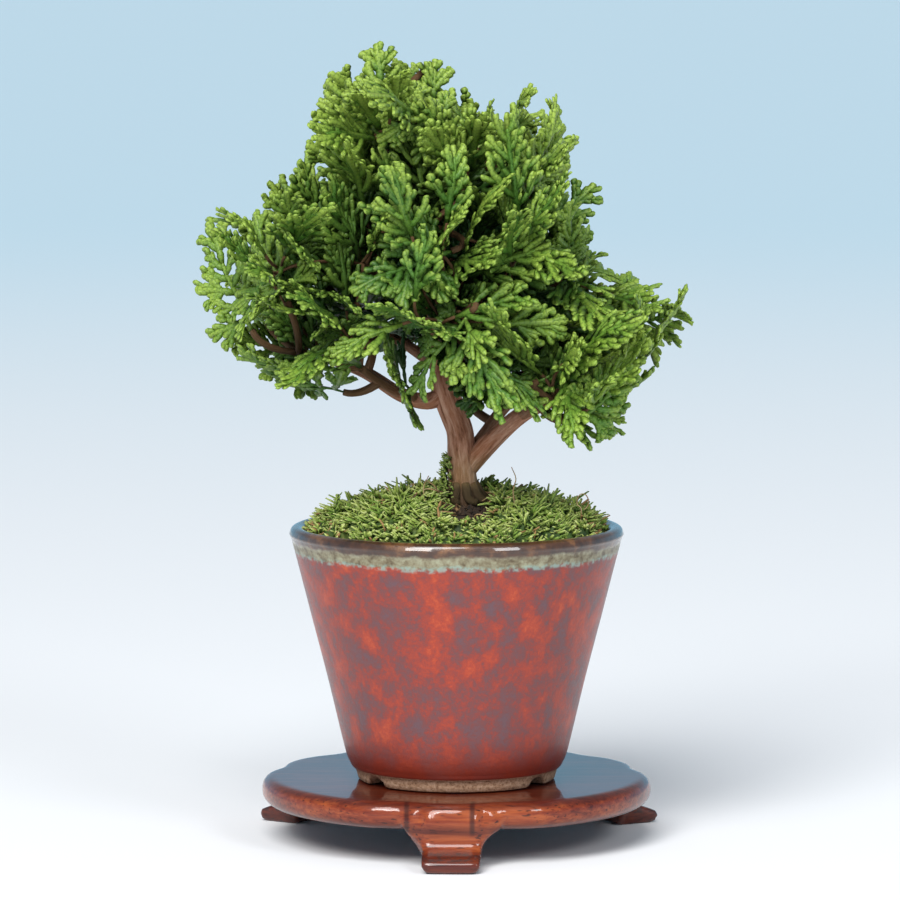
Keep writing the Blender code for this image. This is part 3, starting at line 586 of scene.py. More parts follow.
def between_rows(scale, rng):
    """Branchlets for the gaps between a sheet's fans, by turns on the left and on the right."""
    height, length, angle = BETWEEN.T
    hand = rng.choice((-1, 1)) * np.array((1, -1, 1, -1, 1))
    width, sag = LEAD_WIDTH * rng.uniform(0.85, 1.0, 5), rng.uniform(-1.0, 1.4, 5)
    curl = -hand * rng.uniform(0.1, 0.4, 5)
    turn = hand * np.radians(angle)
    return np.stack([np.zeros(5), height * scale, turn, length * scale, width, sag, curl], 1)


def lead_rows(rows, rng):
    """The sheet's fingers as shoots. A fan's outer fingers spring from its middle one and keep their tips."""
    fans = rows.reshape(-1, 3, 5)
    middle, count = fans[:, 1:2], len(rows)
    share = rng.uniform(0.22, 0.42, fans.shape[:2])
    share[:, 1] = 0.0
    tips = fans[..., :2] + along(fans[..., 2]) * fans[..., 3:4]
    roots = fans[..., :2] + along(middle[..., 2]) * (middle[..., 3] * share)[..., None]
    gap = (tips - roots).reshape(-1, 2)
    curl = np.tile((0.3, 0.0, -0.3), len(fans)) * rng.uniform(0.5, 1.3, count)
    curl = curl + rng.uniform(-0.1, 0.1, count)
    reach = np.linalg.norm(gap, axis=1) * rng.uniform(0.94, 1.02, count)
    width, sag = LEAD_WIDTH * rng.uniform(0.88, 1.06, count), rng.uniform(-1.0, 0.7, count)
    turn = np.arctan2(gap[:, 0], gap[:, 1]) - curl
    leads = np.stack([*roots.reshape(-1, 2).T, turn, reach, width, sag, curl], 1)
    return np.concatenate([leads, between_rows(rows[:, 1].max() / TOP_FAN_HEIGHT, rng)])


def frond_rows(length, rng):
    """A further spray: branchlets leave its axis on alternate sides, shorter and steeper towards the tip."""
    count = int(np.clip(round(length / 2.5), 5, 9))
    share = (np.arange(count) + rng.uniform(0.2, 0.5)) / count
    hand = np.where(np.arange(count) % 2 == 0, 1, -1)
    y = length * (0.12 + 0.76 * share)
    reach = length * (0.5 - 0.24 * share) * rng.uniform(0.85, 1.1, count)
    turn = hand * (0.98 - 0.38 * share + rng.uniform(-0.08, 0.08, count))
    branch = np.stack([np.zeros(count), y, turn, reach, LEAD_WIDTH * rng.uniform(0.76, 0.92, count),
                       rng.uniform(-1.2, 1.0, count), -hand * rng.uniform(0.15, 0.5, count)], 1)
    axis = np.array([[0.0, 0.0, 0.0, length, LEAD_WIDTH, rng.uniform(-1.5, 0.5), rng.uniform(-0.12, 0.12)]])
    return np.concatenate([axis, branch])


def side_rows(leads, spots, rng):
    """Short shoots on alternate sides of every leading shoot, shorter towards its tip."""
    found = []
    for step, share in enumerate(spots):
        hand = np.where((np.arange(len(leads)) + step) % 2 == 0, 1, -1)
        heading = leads[:, 2] + leads[:, 6] * share
        x = leads[:, 0] + np.sin(heading) * leads[:, 3] * share
        y = leads[:, 1] + np.cos(heading) * leads[:, 3] * share
        reach = np.clip(leads[:, 3], 0, 14) * (0.5 - 0.26 * share) * rng.uniform(0.85, 1.15, len(leads))
        turn = heading + hand * rng.uniform(0.5, 0.75, len(leads))
        width = SIDE_WIDTH * rng.uniform(0.88, 1.05, len(leads))
        sag = leads[:, 5] * share**2 + rng.uniform(-0.5, 0.8, len(leads))
        found.append(np.stack([x, y, turn, reach, width, sag, -hand * rng.uniform(0.1, 0.45, len(leads))], 1))
    return np.concatenate(found)


# %% [markdown]
# ## The colour of the scales
# Each point of a shoot knows how far along it stands, so the seams between scales can be drawn by the
# material, and young tips can be lighter than the old shoots inside the crown. Shoots deep inside the crown
# are darker, partly as older foliage and partly as painted shade, and the crown's top is lighter, partly as
# young growth and partly as painted light.


# %% Scale leaves
def leaf_finish():
    """Green scales with darker seams between them, darker inside the crown (partly older shoots, partly
    painted shade), and yellow-green at young tips and at the crown's top (partly young growth, partly painted
    light).
    """
    leaf = Finish("scale_leaves", roughness=0.42)
    tip, tone, outer = leaf.attribute("tip"), leaf.attribute("tone"), leaf.attribute("outer")
    half = leaf.times(leaf.math("GREATER_THAN", leaf.attribute("side"), 0.0), 0.5)
    cell = leaf.math("FRACT", leaf.plus(leaf.math("DIVIDE", leaf.attribute("run"), 1.3), half))
    grown = leaf.mottled((70, 3), ((0.3, 0.04, 0.11, 0.014), (0.5, 0.08, 0.19, 0.022),
                                   (0.72, 0.15, 0.27, 0.03)))
    toned = leaf.mix(tone, grown, (0.23, 0.35, 0.042))
    # Painted shade, partly older foliage: shoots deep inside the crown mix towards a dark green.
    aged_and_shaded = leaf.mix(outer, (0.016, 0.055, 0.014), toned)
    young = leaf.plus(tip, leaf.times(leaf.minus(leaf.noise(140, 2), 0.5), 0.8))
    # Painted light, partly young growth: shoots high in the crown, from 135 to 175 mm, turn lighter and
    # yellower.
    lit_top = leaf.times(leaf.step(leaf.place_along("Z"), 0.135, 0.175), 0.4)
    young = leaf.times(leaf.step(leaf.plus(young, lit_top), 0.25, 1.3), leaf.step(outer, 0.25, 1.0))
    fresh = leaf.mix(leaf.times(young, 0.85), aged_and_shaded, (0.33, 0.45, 0.07))
    seam = leaf.times(leaf.step(cell, 0.4, 0.0), 0.5)
    leaf.feed("Base Color", leaf.mix(seam, fresh, (0.012, 0.05, 0.006)))
    leaf.shader.inputs["Specular IOR Level"].default_value = 0.3
    leaf.bump(cell, 0.0005, 0.8)
    return leaf.material


leaf_material = leaf_finish()


# %% [markdown]
# ## Grow every spray
# One piece replaces each CAD spray. Each further spray joins the CAD spray that is nearest to it.


# %% Leaf pieces
def shoots_of(place, leads, bends, spots, rng):
    """One spray's stalk, leading shoots and side shoots: points, faces and the values for their colour."""
    stalk = np.array([[0.0, 0.0, 0.0, leads[:, 1].max() + 1.0, 1.2, 0.0, 0.0]])
    light = rng.uniform(-0.35, 0.45)
    sides = side_rows(leads, spots, rng)
    parts = []
    for shoots, scales, young in ((stalk, 8, 0.0), (leads, LEAD_SCALES, 1.0), (sides, SIDE_SCALES, 0.95)):
        points, faces, way, run, side = shoot_grid(shoots, scales, place, bends)
        tone = np.clip(rng.uniform(0, 0.5, len(shoots)) + light, 0, 1)
        tone = np.repeat(tone, len(points) // len(shoots))
        # How far out in the crown a point lies; the leaf material darkens inner shoots with it, partly as
        # older foliage and partly as painted shade.
        outer = np.linalg.norm((points - CROWN_MIDDLE) / CROWN_HALF, axis=1) * 1.5 - 0.6
        parts.append((points, faces, way * young, run, side, tone, np.clip(outer, 0, 1)))
    return parts


def grow_leaves(number, name, members):
    """One piece for a CAD spray: its own shoots and those of the further sprays that join it."""
    rng = np.random.default_rng((SEED, 900, number))
    points, faces, values, first = [], [], [], 0
    for order, (place, rows, bends) in enumerate(members):
        leads = frond_rows(place[3], rng) if order else lead_rows(rows, rng)
        spots = FEW_SPOTS if order else SIDE_SPOTS
        for made, shoot_faces, *colours in shoots_of(place, leads, bends, spots, rng):
            faces += [[i + first for i in face] for face in shoot_faces]
            points.append(made)
            values.append(np.stack(colours))
            first += len(made)
    points = np.concatenate(points)
    values = dict(zip(("tip", "run", "side", "tone", "outer"), np.concatenate(values, 1)))
    return make_piece(f"leaves_{number:02d}", points, faces, leaf_material, name, values)


leaf_triangles = 0
for number, (name, *own) in enumerate(sprays):
    members = [own] + [rest for seat, *rest in fill_sprays if seat == number]
    piece = grow_leaves(number, name, members)
    leaf_triangles += sum(len(face.vertices) - 2 for face in piece.data.polygons)
print("leaf triangles", leaf_triangles)

# %% [markdown]
# ## Trunk, limbs and twigs
# The bark of hinoki peels in long fibres. Each limb is a ring grid carried along its line, and its radius
# rises and falls in ridges that run with the limb. Twigs go from the nearest limb to each spray's base, by
# the CAD model's own rule.

# %% Wood
ROOTS = 5
TRUNK_X = 1.4
MOSS_THICKNESS = 3.2


def ground_height(radius):
    """Height of the moss over the pot's base at a distance from its axis: a low dome, by straight steps."""
    return np.interp(radius, [0, 6, 17, 26, 33], [65.0, 64.8, 62.7, 60.3, 57.2])


def twig_path(base, aim, wood):
    """A twig from the nearest limb to a spray's base, bent so that it arrives along the spray's line."""
    away = base - wood[:, :3]
    reach = np.linalg.norm(away, axis=1)
    forward = (away @ aim) / (reach + 0.1)
    root = wood[np.argmin(reach * (1.6 - 0.9 * forward))]
    end = base + aim * GAP
    bend = end - aim * 0.45 * np.linalg.norm(end - root[:3])
    steps = np.linspace(0, 1, 9)[:, None]
    line = (1 - steps) ** 2 * root[:3] + 2 * steps * (1 - steps) * bend + steps**2 * end
    start = min(root[3], 1.1)
    return np.hstack([line, start + (TWIG_RADIUS - start) * steps])


def limb_grid(path, sides, ridge):
    """Rings round a path with ridges, which are drifting sine waves, and each point's place in the fibres."""
    ahead = unit(np.gradient(path[:, :3], axis=0))
    across = unit(np.cross(ahead, (0.37, 0.61, 0.2)))
    other = np.cross(ahead, across)
    turn = np.arange(sides) / sides * 2 * math.pi
    run = np.cumsum(np.r_[0, np.linalg.norm(np.diff(path[:, :3], axis=0), axis=1)])[:, None]
    relief = (np.sin(5 * turn + 0.25 * run + 1.2) + 0.6 * np.sin(9 * turn - 0.12 * run)
              + 0.5 * np.sin(14 * turn + 0.3 * run) + 0.5 * np.sin(3 * turn + 0.6 * run))
    radius = path[:, 3:4] * (1 + ridge * relief / 2)
    points = (path[:, None, :3] + radius[..., None] * (np.cos(turn)[None, :, None] * across[:, None]
                                                      + np.sin(turn)[None, :, None] * other[:, None]))
    middle = path[:, 3:4]
    fibre = np.stack([middle * np.cos(turn), middle * np.sin(turn), np.broadcast_to(run, radius.shape)], -1)
    return points.reshape(-1, 3), fibre.reshape(-1, 3)


def tubes(members):
    """Closed tubes, one for each path, sides and ridge: points, faces, places in the fibres and radii."""
    points, faces, fibres, radii, first = [], [], [], [], 0
    for path, sides, ridge in members:
        made, fibre = limb_grid(path, sides, ridge)
        ring = np.arange(sides) + first
        faces += (grid_faces(len(path), sides) + first).tolist()
        faces += [ring[::-1].tolist(), (ring + (len(path) - 1) * sides).tolist()]
        points.append(made)
        fibres.append(fibre)
        radii.append(np.repeat(path[:, 3], sides))
        first += len(made)
    return np.concatenate(points), faces, np.concatenate(fibres), np.concatenate(radii)


def root_paths():
    """Roots that fan out from the trunk's foot and sink into the soil."""
    z = POT_BASE + ground_height(5) - MOSS_THICKNESS - GAP
    paths = []
    for index in range(ROOTS):
        turn = math.radians(205 + index * 38)
        rows = []
        for reach, rise, radius, bend in ((2.6, 5.0, 1.2, 0), (4.8, 1.9, 1.0, 0.1), (6.9, 1.4, 0.7, 0.3)):
            x = TRUNK_X + reach * math.cos(turn + bend)
            rows.append((x, reach * math.sin(turn + bend), z + rise, radius))
        paths.append(smooth_path(rows, 6))
    return paths


# %% [markdown]
# ## The bark
# The fibres run along each limb, because the noise is stretched in the limb's own directions.


# %% Bark and wood
def bark_finish():
    """Red-brown fibres that run along the wood, with paler flakes and dark cracks."""
    bark = Finish("bark", roughness=0.8)
    drawn_out = bark.stretched((1.0, 1.0, 0.16), bark.attribute("fibre", "Vector"))
    fibres = bark.noise(1.1, 5, 0.68, drawn_out)
    plates = bark.noise(0.42, 3, 0.6, drawn_out)
    colour = bark.ramp(fibres, ((0.3, 0.12, 0.04, 0.022), (0.42, 0.32, 0.13, 0.07),
                                (0.55, 0.5, 0.25, 0.16), (0.75, 0.68, 0.44, 0.32)))
    red = bark.mix(bark.step(plates, 0.5, 0.62), colour, (0.33, 0.11, 0.045))
    thin = bark.times(bark.attribute("thin"), 0.92)
    twig = bark.mix(thin, bark.mix(0.45, colour, red), (0.075, 0.04, 0.012))
    z = bark.plus(bark.height(), bark.times(bark.noise(300, 3), 5.0))
    green = bark.mix(bark.times(bark.step(z, 93.0, 85.0), 0.28), twig, (0.13, 0.15, 0.03))
    bark.feed("Base Color", bark.mix(bark.times(bark.step(z, 85.5, 81.5), 0.8), green, (0.035, 0.02, 0.008)))
    bark.shader.inputs["Specular IOR Level"].default_value = 0.3
    bark.bump(fibres, 0.0007, 0.9)
    return bark.material


def grow_wood():
    """The trunk, its limbs and roots and a twig for every spray, as one piece."""
    wood = wood_points()
    slim = np.array((1.0, 1.0, 1.0, 0.5))
    members = [(smooth_path(TRUNK, 8), 40, 0.04)]
    members += [(smooth_path(limb, 7), 18, 0.04) for limb in LIMBS.values()]
    members += [(path, 12, 0.08) for path in root_paths()]
    members += [(twig_path(*place[:2], wood), 8, 0.05) for _, place, _, _ in sprays]
    members += [(twig_path(*place[:2], wood) * slim, 6, 0.05) for _, place, _, _ in fill_sprays]
    points, faces, fibres, radii = tubes(members)
    values = {"fibre": fibres, "thin": np.clip(1.9 - radii, 0, 1)}
    return make_piece("trunk_bark", points, faces, bark_finish(), "trunk_and_branches", values)


trunk = grow_wood()
print("trunk faces", len(trunk.data.polygons))

# %% [markdown]
# ## The pot
# It is thrown on a wheel, so it is one profile turned round the axis, with many more steps than the CAD
# model's. The foot's lower edge rises in three places, which cuts the notches. The glaze stops above the
# foot and leaves the clay bare.

# %% Pot
WALL = 3.5
FOOT_RADIUS = 22.0
FOOT_HEIGHT = 2.7
FOOT_WIDTH = 3.6
FLOOR_TOP = 6.4
DRAIN_RADIUS = 5.0
NOTCH_ANGLES = (-36.0, 90.0, 216.0)
NOTCH_HALF = 3.1
POT_STEPS = 180


def outer_profile():
    """The pot's outside from the lip down, as (radius, height over the base), smoothed by a cubic."""
    slope = (RIM_RADIUS - 25.9) / (POT_HEIGHT - 12.0)
    rows = [(RIM_RADIUS, POT_HEIGHT - 1.7), (RIM_RADIUS - 3.5 * slope, POT_HEIGHT - 4.4),
            (RIM_RADIUS - 20 * slope, POT_HEIGHT - 21), (RIM_RADIUS - 33 * slope, POT_HEIGHT - 34),
            (25.9, 10.0), (24.7, 5.4), (23.6, FOOT_HEIGHT + 0.4)]
    return smooth_path(rows, 8)


def pot_profile():
    """The whole profile: lip, outside, foot, drain hole and inside, down to where the soil hides it."""
    inner = RIM_RADIUS - WALL - 0.2
    lip = smooth_path([
        (inner, POT_HEIGHT - 2.4), (inner + 0.5, POT_HEIGHT - 0.7), (inner + 1.2, POT_HEIGHT - 0.1),
        (RIM_RADIUS - 1.6, POT_HEIGHT), (RIM_RADIUS - 0.5, POT_HEIGHT - 0.5), (RIM_RADIUS, POT_HEIGHT - 1.7),
    ], 5)
    foot = [(23.3, FOOT_HEIGHT + 0.1), (FOOT_RADIUS + 0.8, FOOT_HEIGHT - 0.1),
            (FOOT_RADIUS + 0.4, FOOT_HEIGHT * 0.5), (FOOT_RADIUS + 0.1, 0.25), (FOOT_RADIUS - 0.3, 0.0),
            (FOOT_RADIUS - FOOT_WIDTH + 0.3, 0.0), (FOOT_RADIUS - FOOT_WIDTH, 0.3),
            (FOOT_RADIUS - FOOT_WIDTH - 0.5, 2.2), (DRAIN_RADIUS, 2.6),
            (DRAIN_RADIUS, FLOOR_TOP), (19.4, FLOOR_TOP), (21.4, FLOOR_TOP + 1.3)]
    return np.vstack([[(inner - 7.2, 27.0)], lip, outer_profile()[1:], foot])


def build_pot():
    """The profile turned round the axis, slightly out of round, with the notches cut as arcs."""
    profile = pot_profile()
    turn = np.arange(POT_STEPS) / POT_STEPS * 2 * math.pi
    radius = np.repeat(profile[:, :1], POT_STEPS, 1)
    height = np.repeat(profile[:, 1:], POT_STEPS, 1)
    for degrees in NOTCH_ANGLES:
        off = np.abs((turn - math.radians(degrees) + math.pi) % (2 * math.pi) - math.pi) * FOOT_RADIUS
        arc = (FOOT_HEIGHT - 0.5) * np.sqrt(np.clip(1 - (off / NOTCH_HALF) ** 2, 0, 1))
        on_foot = (height < FOOT_HEIGHT - 0.15) & (radius > FOOT_RADIUS - FOOT_WIDTH - 0.4)
        height = np.where(on_foot, np.maximum(height, arc[None]), height)
    wobble = 0.12 * np.sin(2 * turn + 0.8) + 0.05 * np.sin(5 * turn)
    radius = radius - np.abs(wobble)[None] * (radius > 24) * 0.6
    points = np.stack([radius * np.cos(turn), radius * np.sin(turn), height + POT_BASE], -1).reshape(-1, 3)
    faces = ring_faces(len(profile), POT_STEPS)
    clay = (height < FOOT_HEIGHT + 0.15).astype(float).ravel()
    return make_piece("glazed_pot", points, faces, glaze_finish(), "pot", {"clay": clay})


# %% [markdown]
# ## The glaze
# Distance below the lip places the brown lip, the olive band and its beaded edge. A slow noise makes
# these lines wander, as a glaze does when it runs.


# %% Glaze
def glaze_finish():
    """A red glaze that breaks to grey-violet, brown on the lip, with an olive band and a pale beaded edge."""
    glaze = Finish("glaze", roughness=0.3, coat=0.35, coat_roughness=0.05)
    z = glaze.height()
    wander = glaze.times(glaze.minus(glaze.noise(150, 5, 0.65), 0.5), 2.6)
    below_lip = glaze.minus(float(POT_BASE + POT_HEIGHT), glaze.plus(z, wander))
    clouds = glaze.noise(185, 5, 0.55, glaze.stretched((1.0, 1.0, 0.8)), 0.1)
    flecks = glaze.noise(1100, 5, 0.75)
    mottled = glaze.plus(glaze.times(clouds, 0.62), glaze.times(flecks, 0.38))
    body = glaze.ramp(mottled, ((0.36, 0.13, 0.065, 0.075), (0.45, 0.17, 0.052, 0.05),
                                (0.51, 0.26, 0.042, 0.03),
                                (0.59, 0.38, 0.048, 0.021), (0.7, 0.52, 0.095, 0.032)))
    low = glaze.step(glaze.plus(z, glaze.times(wander, 2.0)), float(POT_BASE + 14), float(POT_BASE + 4))
    body = glaze.mix(glaze.times(low, 0.85), body, (0.16, 0.018, 0.008))
    band = glaze.mottled((420, 5, 0.7), ((0.36, 0.1, 0.07, 0.035), (0.5, 0.22, 0.185, 0.11),
                                         (0.66, 0.33, 0.32, 0.21)))
    body = glaze.mix(glaze.step(below_lip, 6.0, 5.2), body, band)
    bead = glaze.times(glaze.step(below_lip, 4.7, 5.4), glaze.step(below_lip, 6.5, 5.9))
    bead = glaze.times(bead, glaze.step(glaze.noise(700, 3, 0.6), 0.4, 0.62))
    body = glaze.mix(glaze.times(bead, 0.7), body, (0.26, 0.38, 0.33))
    lip = glaze.mottled((260, 4, 0.6), ((0.35, 0.03, 0.014, 0.009), (0.55, 0.075, 0.03, 0.014),
                                        (0.72, 0.2, 0.085, 0.03)))
    body = glaze.mix(glaze.step(below_lip, 3.4, 2.6), body, lip)
    grit = glaze.mottled((1500, 3, 0.8), ((0.3, 0.1, 0.05, 0.03), (0.45, 0.33, 0.18, 0.1),
                                          (0.7, 0.56, 0.37, 0.25)))
    clay = glaze.step(glaze.attribute("clay"), 0.4, 0.6)
    glaze.feed("Base Color", glaze.mix(clay, body, grit))
    satin = glaze.plus(glaze.times(flecks, 0.4), 0.16)
    glaze.feed("Roughness", glaze.plus(glaze.times(clay, 0.55), satin))
    gloss = glaze.plus(0.12, glaze.times(glaze.step(below_lip, 4.0, 3.0), 0.8))
    gloss = glaze.times(gloss, glaze.minus(1.0, clay))
    glaze.shader.inputs["Specular IOR Level"].default_value = 0.35
    glaze.feed("Coat Weight", gloss)
    dots = glaze.plus(glaze.times(flecks, 0.5), glaze.times(glaze.noise(160, 2), 0.5))
    glaze.bump(dots, 0.0004, 0.4)
    return glaze.material


pot = build_pot()
print("pot faces", len(pot.data.polygons))

# %% [markdown]
# ## The stand
# The round stand is carved from one piece of wood, under dark red lacquer that wears to orange-brown on its
# edges. It keeps the CAD model's numbers on much finer grids: a plate with a rounded edge, three swept legs
# and a carved groove on each side of a leg. An even voxel mesh then makes one skin of them.

# %% Stand
PLATE_THICKNESS = 6.0
PLATE_RADIUS = 43.9
PLATE_EDGE = 2.6
PLATE_DENT = 1.5
LEG_COUNT = 3
LEG_WIDTH = 13.0
LEG_FLARE = 4.4
LEG_NECK = 4.4
LEG_SWEEP = 4.4
LEG_REACH = 49.5
LEG_TURN = math.radians(-91.5)
STAND_Y = 6.0
GROOVE_RADIUS = 1.15
PLATE_STEPS = 720
LEG_COLUMNS = 61
STAND_VOXEL = 0.56
STAND_TOP = stand_high[2]


def off_leg(angle):
    """Signed angle from the nearest leg's middle."""
    third = 2 * math.pi / LEG_COUNT
    return (angle - LEG_TURN + third / 2) % third - third / 2


def plate_points():
    """Rings from the top's middle over the rounded edge to the bottom's middle."""
    turn = np.arange(PLATE_STEPS) / PLATE_STEPS * 2 * math.pi
    radius = PLATE_RADIUS - PLATE_DENT * np.exp(-(((np.abs(off_leg(turn)) - 0.27) / 0.13) ** 2))
    bend = np.radians(np.linspace(90, -90, 17))
    lean = np.sign(np.sin(bend)) * (PLATE_THICKNESS / 2 - PLATE_EDGE)
    heights = STAND_TOP - PLATE_THICKNESS / 2 + lean + PLATE_EDGE * np.sin(bend)
    inner = np.array((0.02, 0.4, 0.75, 0.92))
    reach = np.concatenate([inner, np.ones(len(bend)), inner[::-1]])[:, None] * (radius - PLATE_EDGE)
    reach[len(inner) : -len(inner)] += PLATE_EDGE * np.cos(bend)[:, None]
    z = np.concatenate([np.full(4, heights[0]), heights, np.full(4, heights[-1])])[:, None]
    return np.stack([reach * np.cos(turn), reach * np.sin(turn), np.broadcast_to(z, reach.shape)], -1)


def leg_points(index):
    """A leg's side outline, closed and smoothed, at many places across its width."""
    knee = PLATE_RADIUS - 0.4
    outline = smooth_path([
        (34.0, STAND_TOP - 2.0), (knee - 1.6, STAND_TOP - 1.0), (knee + 0.3, STAND_TOP - 2.8),
        (knee + 0.5, 9.4), (knee - 0.1, 7.0), (knee + 0.8, 4.7), (LEG_REACH - 2.0, 3.4),
        (LEG_REACH - 0.3, 2.6), (LEG_REACH, 1.4), (LEG_REACH - 1.2, 0.0), (knee - 3.6, 0.0),
        (knee - 4.6, 2.6), (knee - 5.4, 5.0),
        (knee - 8.6, 7.4), (34.0, 9.2),
    ], 4)
    reach, height = outline[:, 0][None], np.clip(outline[:, 1], 0, None)[None]
    share = np.linspace(-1, 1, LEG_COLUMNS)[:, None]
    wing = np.clip((np.abs(share) - 0.7) / 0.3, 0, 1) ** 2
    swell = np.clip((height - LEG_NECK) / LEG_SWEEP, 0, 1) ** 2
    half = share * (LEG_WIDTH / 2 - 1.1 * np.clip(1 - height / 1.6, 0, 1))
    half = half + np.sign(share) * swell * wing * LEG_FLARE
    reach = reach - np.where(reach > 40, (0.5 + 2.2 * swell) * wing, 0.0)
    turn = LEG_TURN + index * 2 * math.pi / LEG_COUNT
    x = reach * math.cos(turn) - half * math.sin(turn)
    y = reach * math.sin(turn) + half * math.cos(turn)
    return np.stack([x, y, np.broadcast_to(height, x.shape)], -1)


def carve_grooves(points):
    """Points inside a groove's cylinder move towards the plate's middle until they lie on it."""
    reach = np.hypot(points[:, 0], points[:, 1])
    beside = np.abs(off_leg(np.arctan2(points[:, 1], points[:, 0]))) * reach - (LEG_WIDTH / 2 + 0.7)
    depth = np.sqrt(np.clip(GROOVE_RADIUS**2 - beside**2, 0, None))
    limit = PLATE_RADIUS + 0.35 - 0.25 * (points[:, 2] - 11.5) - depth * 1.25
    shrink = np.where((depth > 0) & (reach > limit) & (points[:, 2] > 6.5), limit / np.maximum(reach, 1), 1.0)
    points[:, :2] *= shrink[:, None]
    return points


# %% [markdown]
# ## The lacquer
# Height over the floor tells the worn edges from the deep red faces.


# %% Lacquer
def lacquer_finish():
    """Grain along X with short dark pores. The lacquer is dark red, and orange where an edge is worn. Painted
    shade darkens the carved grooves.
    """
    wood = Finish("lacquer", roughness=0.4, coat=0.75, coat_roughness=0.05)
    wood.shader.inputs["Specular IOR Level"].default_value = 0.15
    z = wood.height()
    grain = wood.noise(1.0, 5, 0.62, wood.stretched((60, 700, 1300)))
    broad = wood.noise(1.0, 2, 0.5, wood.stretched((28, 60, 120)))
    mixed = wood.plus(wood.times(grain, 0.5), wood.times(broad, 0.5))
    deep = wood.ramp(mixed, ((0.34, 0.04, 0.005, 0.003), (0.5, 0.095, 0.013, 0.005),
                             (0.68, 0.2, 0.038, 0.01)))
    worn = wood.ramp(mixed, ((0.36, 0.085, 0.01, 0.004), (0.48, 0.2, 0.03, 0.008),
                             (0.64, 0.37, 0.082, 0.018)))
    edge = wood.times(wood.step(z, 13.8, 12.4), wood.step(z, 8.6, 10.4))
    toe = wood.times(wood.step(z, 8.2, 7.4), wood.step(z, 3.6, 5.0))
    light = wood.math("ADD", edge, wood.times(toe, 0.8), clamp=True)
    colour = wood.mix(light, deep, worn)
    pores = wood.noise(1.0, 2, 0.5, wood.stretched((240, 1700, 1700)))
    colour = wood.mix(wood.times(wood.step(pores, 0.41, 0.31), 0.85), colour, (0.03, 0.005, 0.003))
    # Painted shade: the carved grooves beside each leg are darkened.
    colour = wood.mix(groove_shade_mask(wood, z), colour, (0.022, 0.004, 0.003))
    scuffs = wood.times(wood.step(z, 4.6, 3.8), wood.step(z, 2.2, 3.0))
    scuffs = wood.times(scuffs, wood.step(wood.noise(600, 3, 0.7), 0.45, 0.6))
    wood.feed("Base Color", wood.mix(wood.times(scuffs, 0.8), colour, (0.03, 0.015, 0.014)))
    wood.bump(wood.plus(grain, wood.times(pores, 0.6)), 0.0001, 0.25)
    return wood.material


def groove_shade_mask(wood, z):
    """1 in the carved grooves, which lie at a known distance from the middle line of each leg. The lacquer
    darkens them with it as painted shade.
    """
    x = wood.place_along("X")
    y = wood.minus(wood.place_along("Y"), STAND_Y * MM)
    found = 0.0
    for index in range(LEG_COUNT):
        turn = LEG_TURN + index * 2 * math.pi / LEG_COUNT
        out = wood.plus(wood.times(x, math.cos(turn)), wood.times(y, math.sin(turn)))
        across = wood.minus(wood.times(y, math.cos(turn)), wood.times(x, math.sin(turn)))
        off = wood.math("ABSOLUTE", wood.minus(wood.math("ABSOLUTE", across), (LEG_WIDTH / 2 + 0.7) * MM))
        line = wood.times(wood.step(off, 0.0009, 0.0002), wood.step(out, 0.0395, 0.0415))
        found = wood.math("MAXIMUM", found, line)
    return wood.times(found, wood.times(wood.step(z, 7.0, 8.5), 0.75))


# %% [markdown]
# ## One skin
# Plate and legs overlap, so a voxel mesh joins them and one smoothing pass softens its steps.


# %% Build the stand
def build_stand():
    """Plate and legs, carved, then made one skin and softened a little."""
    plate = plate_points()
    rings = len(plate)
    step = np.arange(PLATE_STEPS)
    ends = [step.tolist(), (step + (rings - 1) * PLATE_STEPS)[::-1].tolist()]
    points = [plate.reshape(-1, 3)]
    faces = grid_faces(rings, PLATE_STEPS)[:, ::-1].tolist() + ends
    first = len(points[0])
    for index in range(LEG_COUNT):
        leg = leg_points(index)
        columns, count = leg.shape[:2]
        caps = [np.arange(count)[::-1], np.arange(count) + (columns - 1) * count]
        faces += (grid_faces(columns, count) + first).tolist() + [(cap + first).tolist() for cap in caps]
        points.append(leg.reshape(-1, 3))
        first += columns * count
    points = carve_grooves(np.concatenate(points)) + np.array((0, STAND_Y, 0))
    piece = make_piece("stand_wood", points, faces, lacquer_finish(), "stand")
    remesh = piece.modifiers.new("one skin", "REMESH")
    remesh.mode = "VOXEL"
    remesh.voxel_size = STAND_VOXEL * MM
    remesh.use_smooth_shade = True
    smooth = piece.modifiers.new("soft edges", "SMOOTH")
    smooth.iterations = 1
    smooth.factor = 0.5
    return piece


stand = build_stand()
print("stand faces", len(stand.data.polygons))

# %% [markdown]
# ## Soil and moss
# Moss covers the soil up to the rim. Under the trunk a small hollow shows soil and roots. The cushion is a
# polar grid whose height is a low dome with bumps, and thousands of three-sided blades stand on it.

# %% Moss
BARE = np.array((2.2, -1.6))
BARE_RADIUS = 9.2
HOLLOW = np.array((3.0, -12.0))
MOSS_EDGE = 33.4
MOSS_RINGS = 60
MOSS_STEPS = 200
TUFTS = 230
SPRIGS = 9800
TUFT_RADIUS = 2.9
SPRIG_RINGS = 3


def hollow_share(x, y):
    """1 in the middle of the dip before the trunk, falling to 0 round it."""
    depth = np.where(y < HOLLOW[1], 17.0, 8.5)
    return np.exp(-(((x - HOLLOW[0]) / 8.0) ** 2 + ((y - HOLLOW[1]) / depth) ** 2))


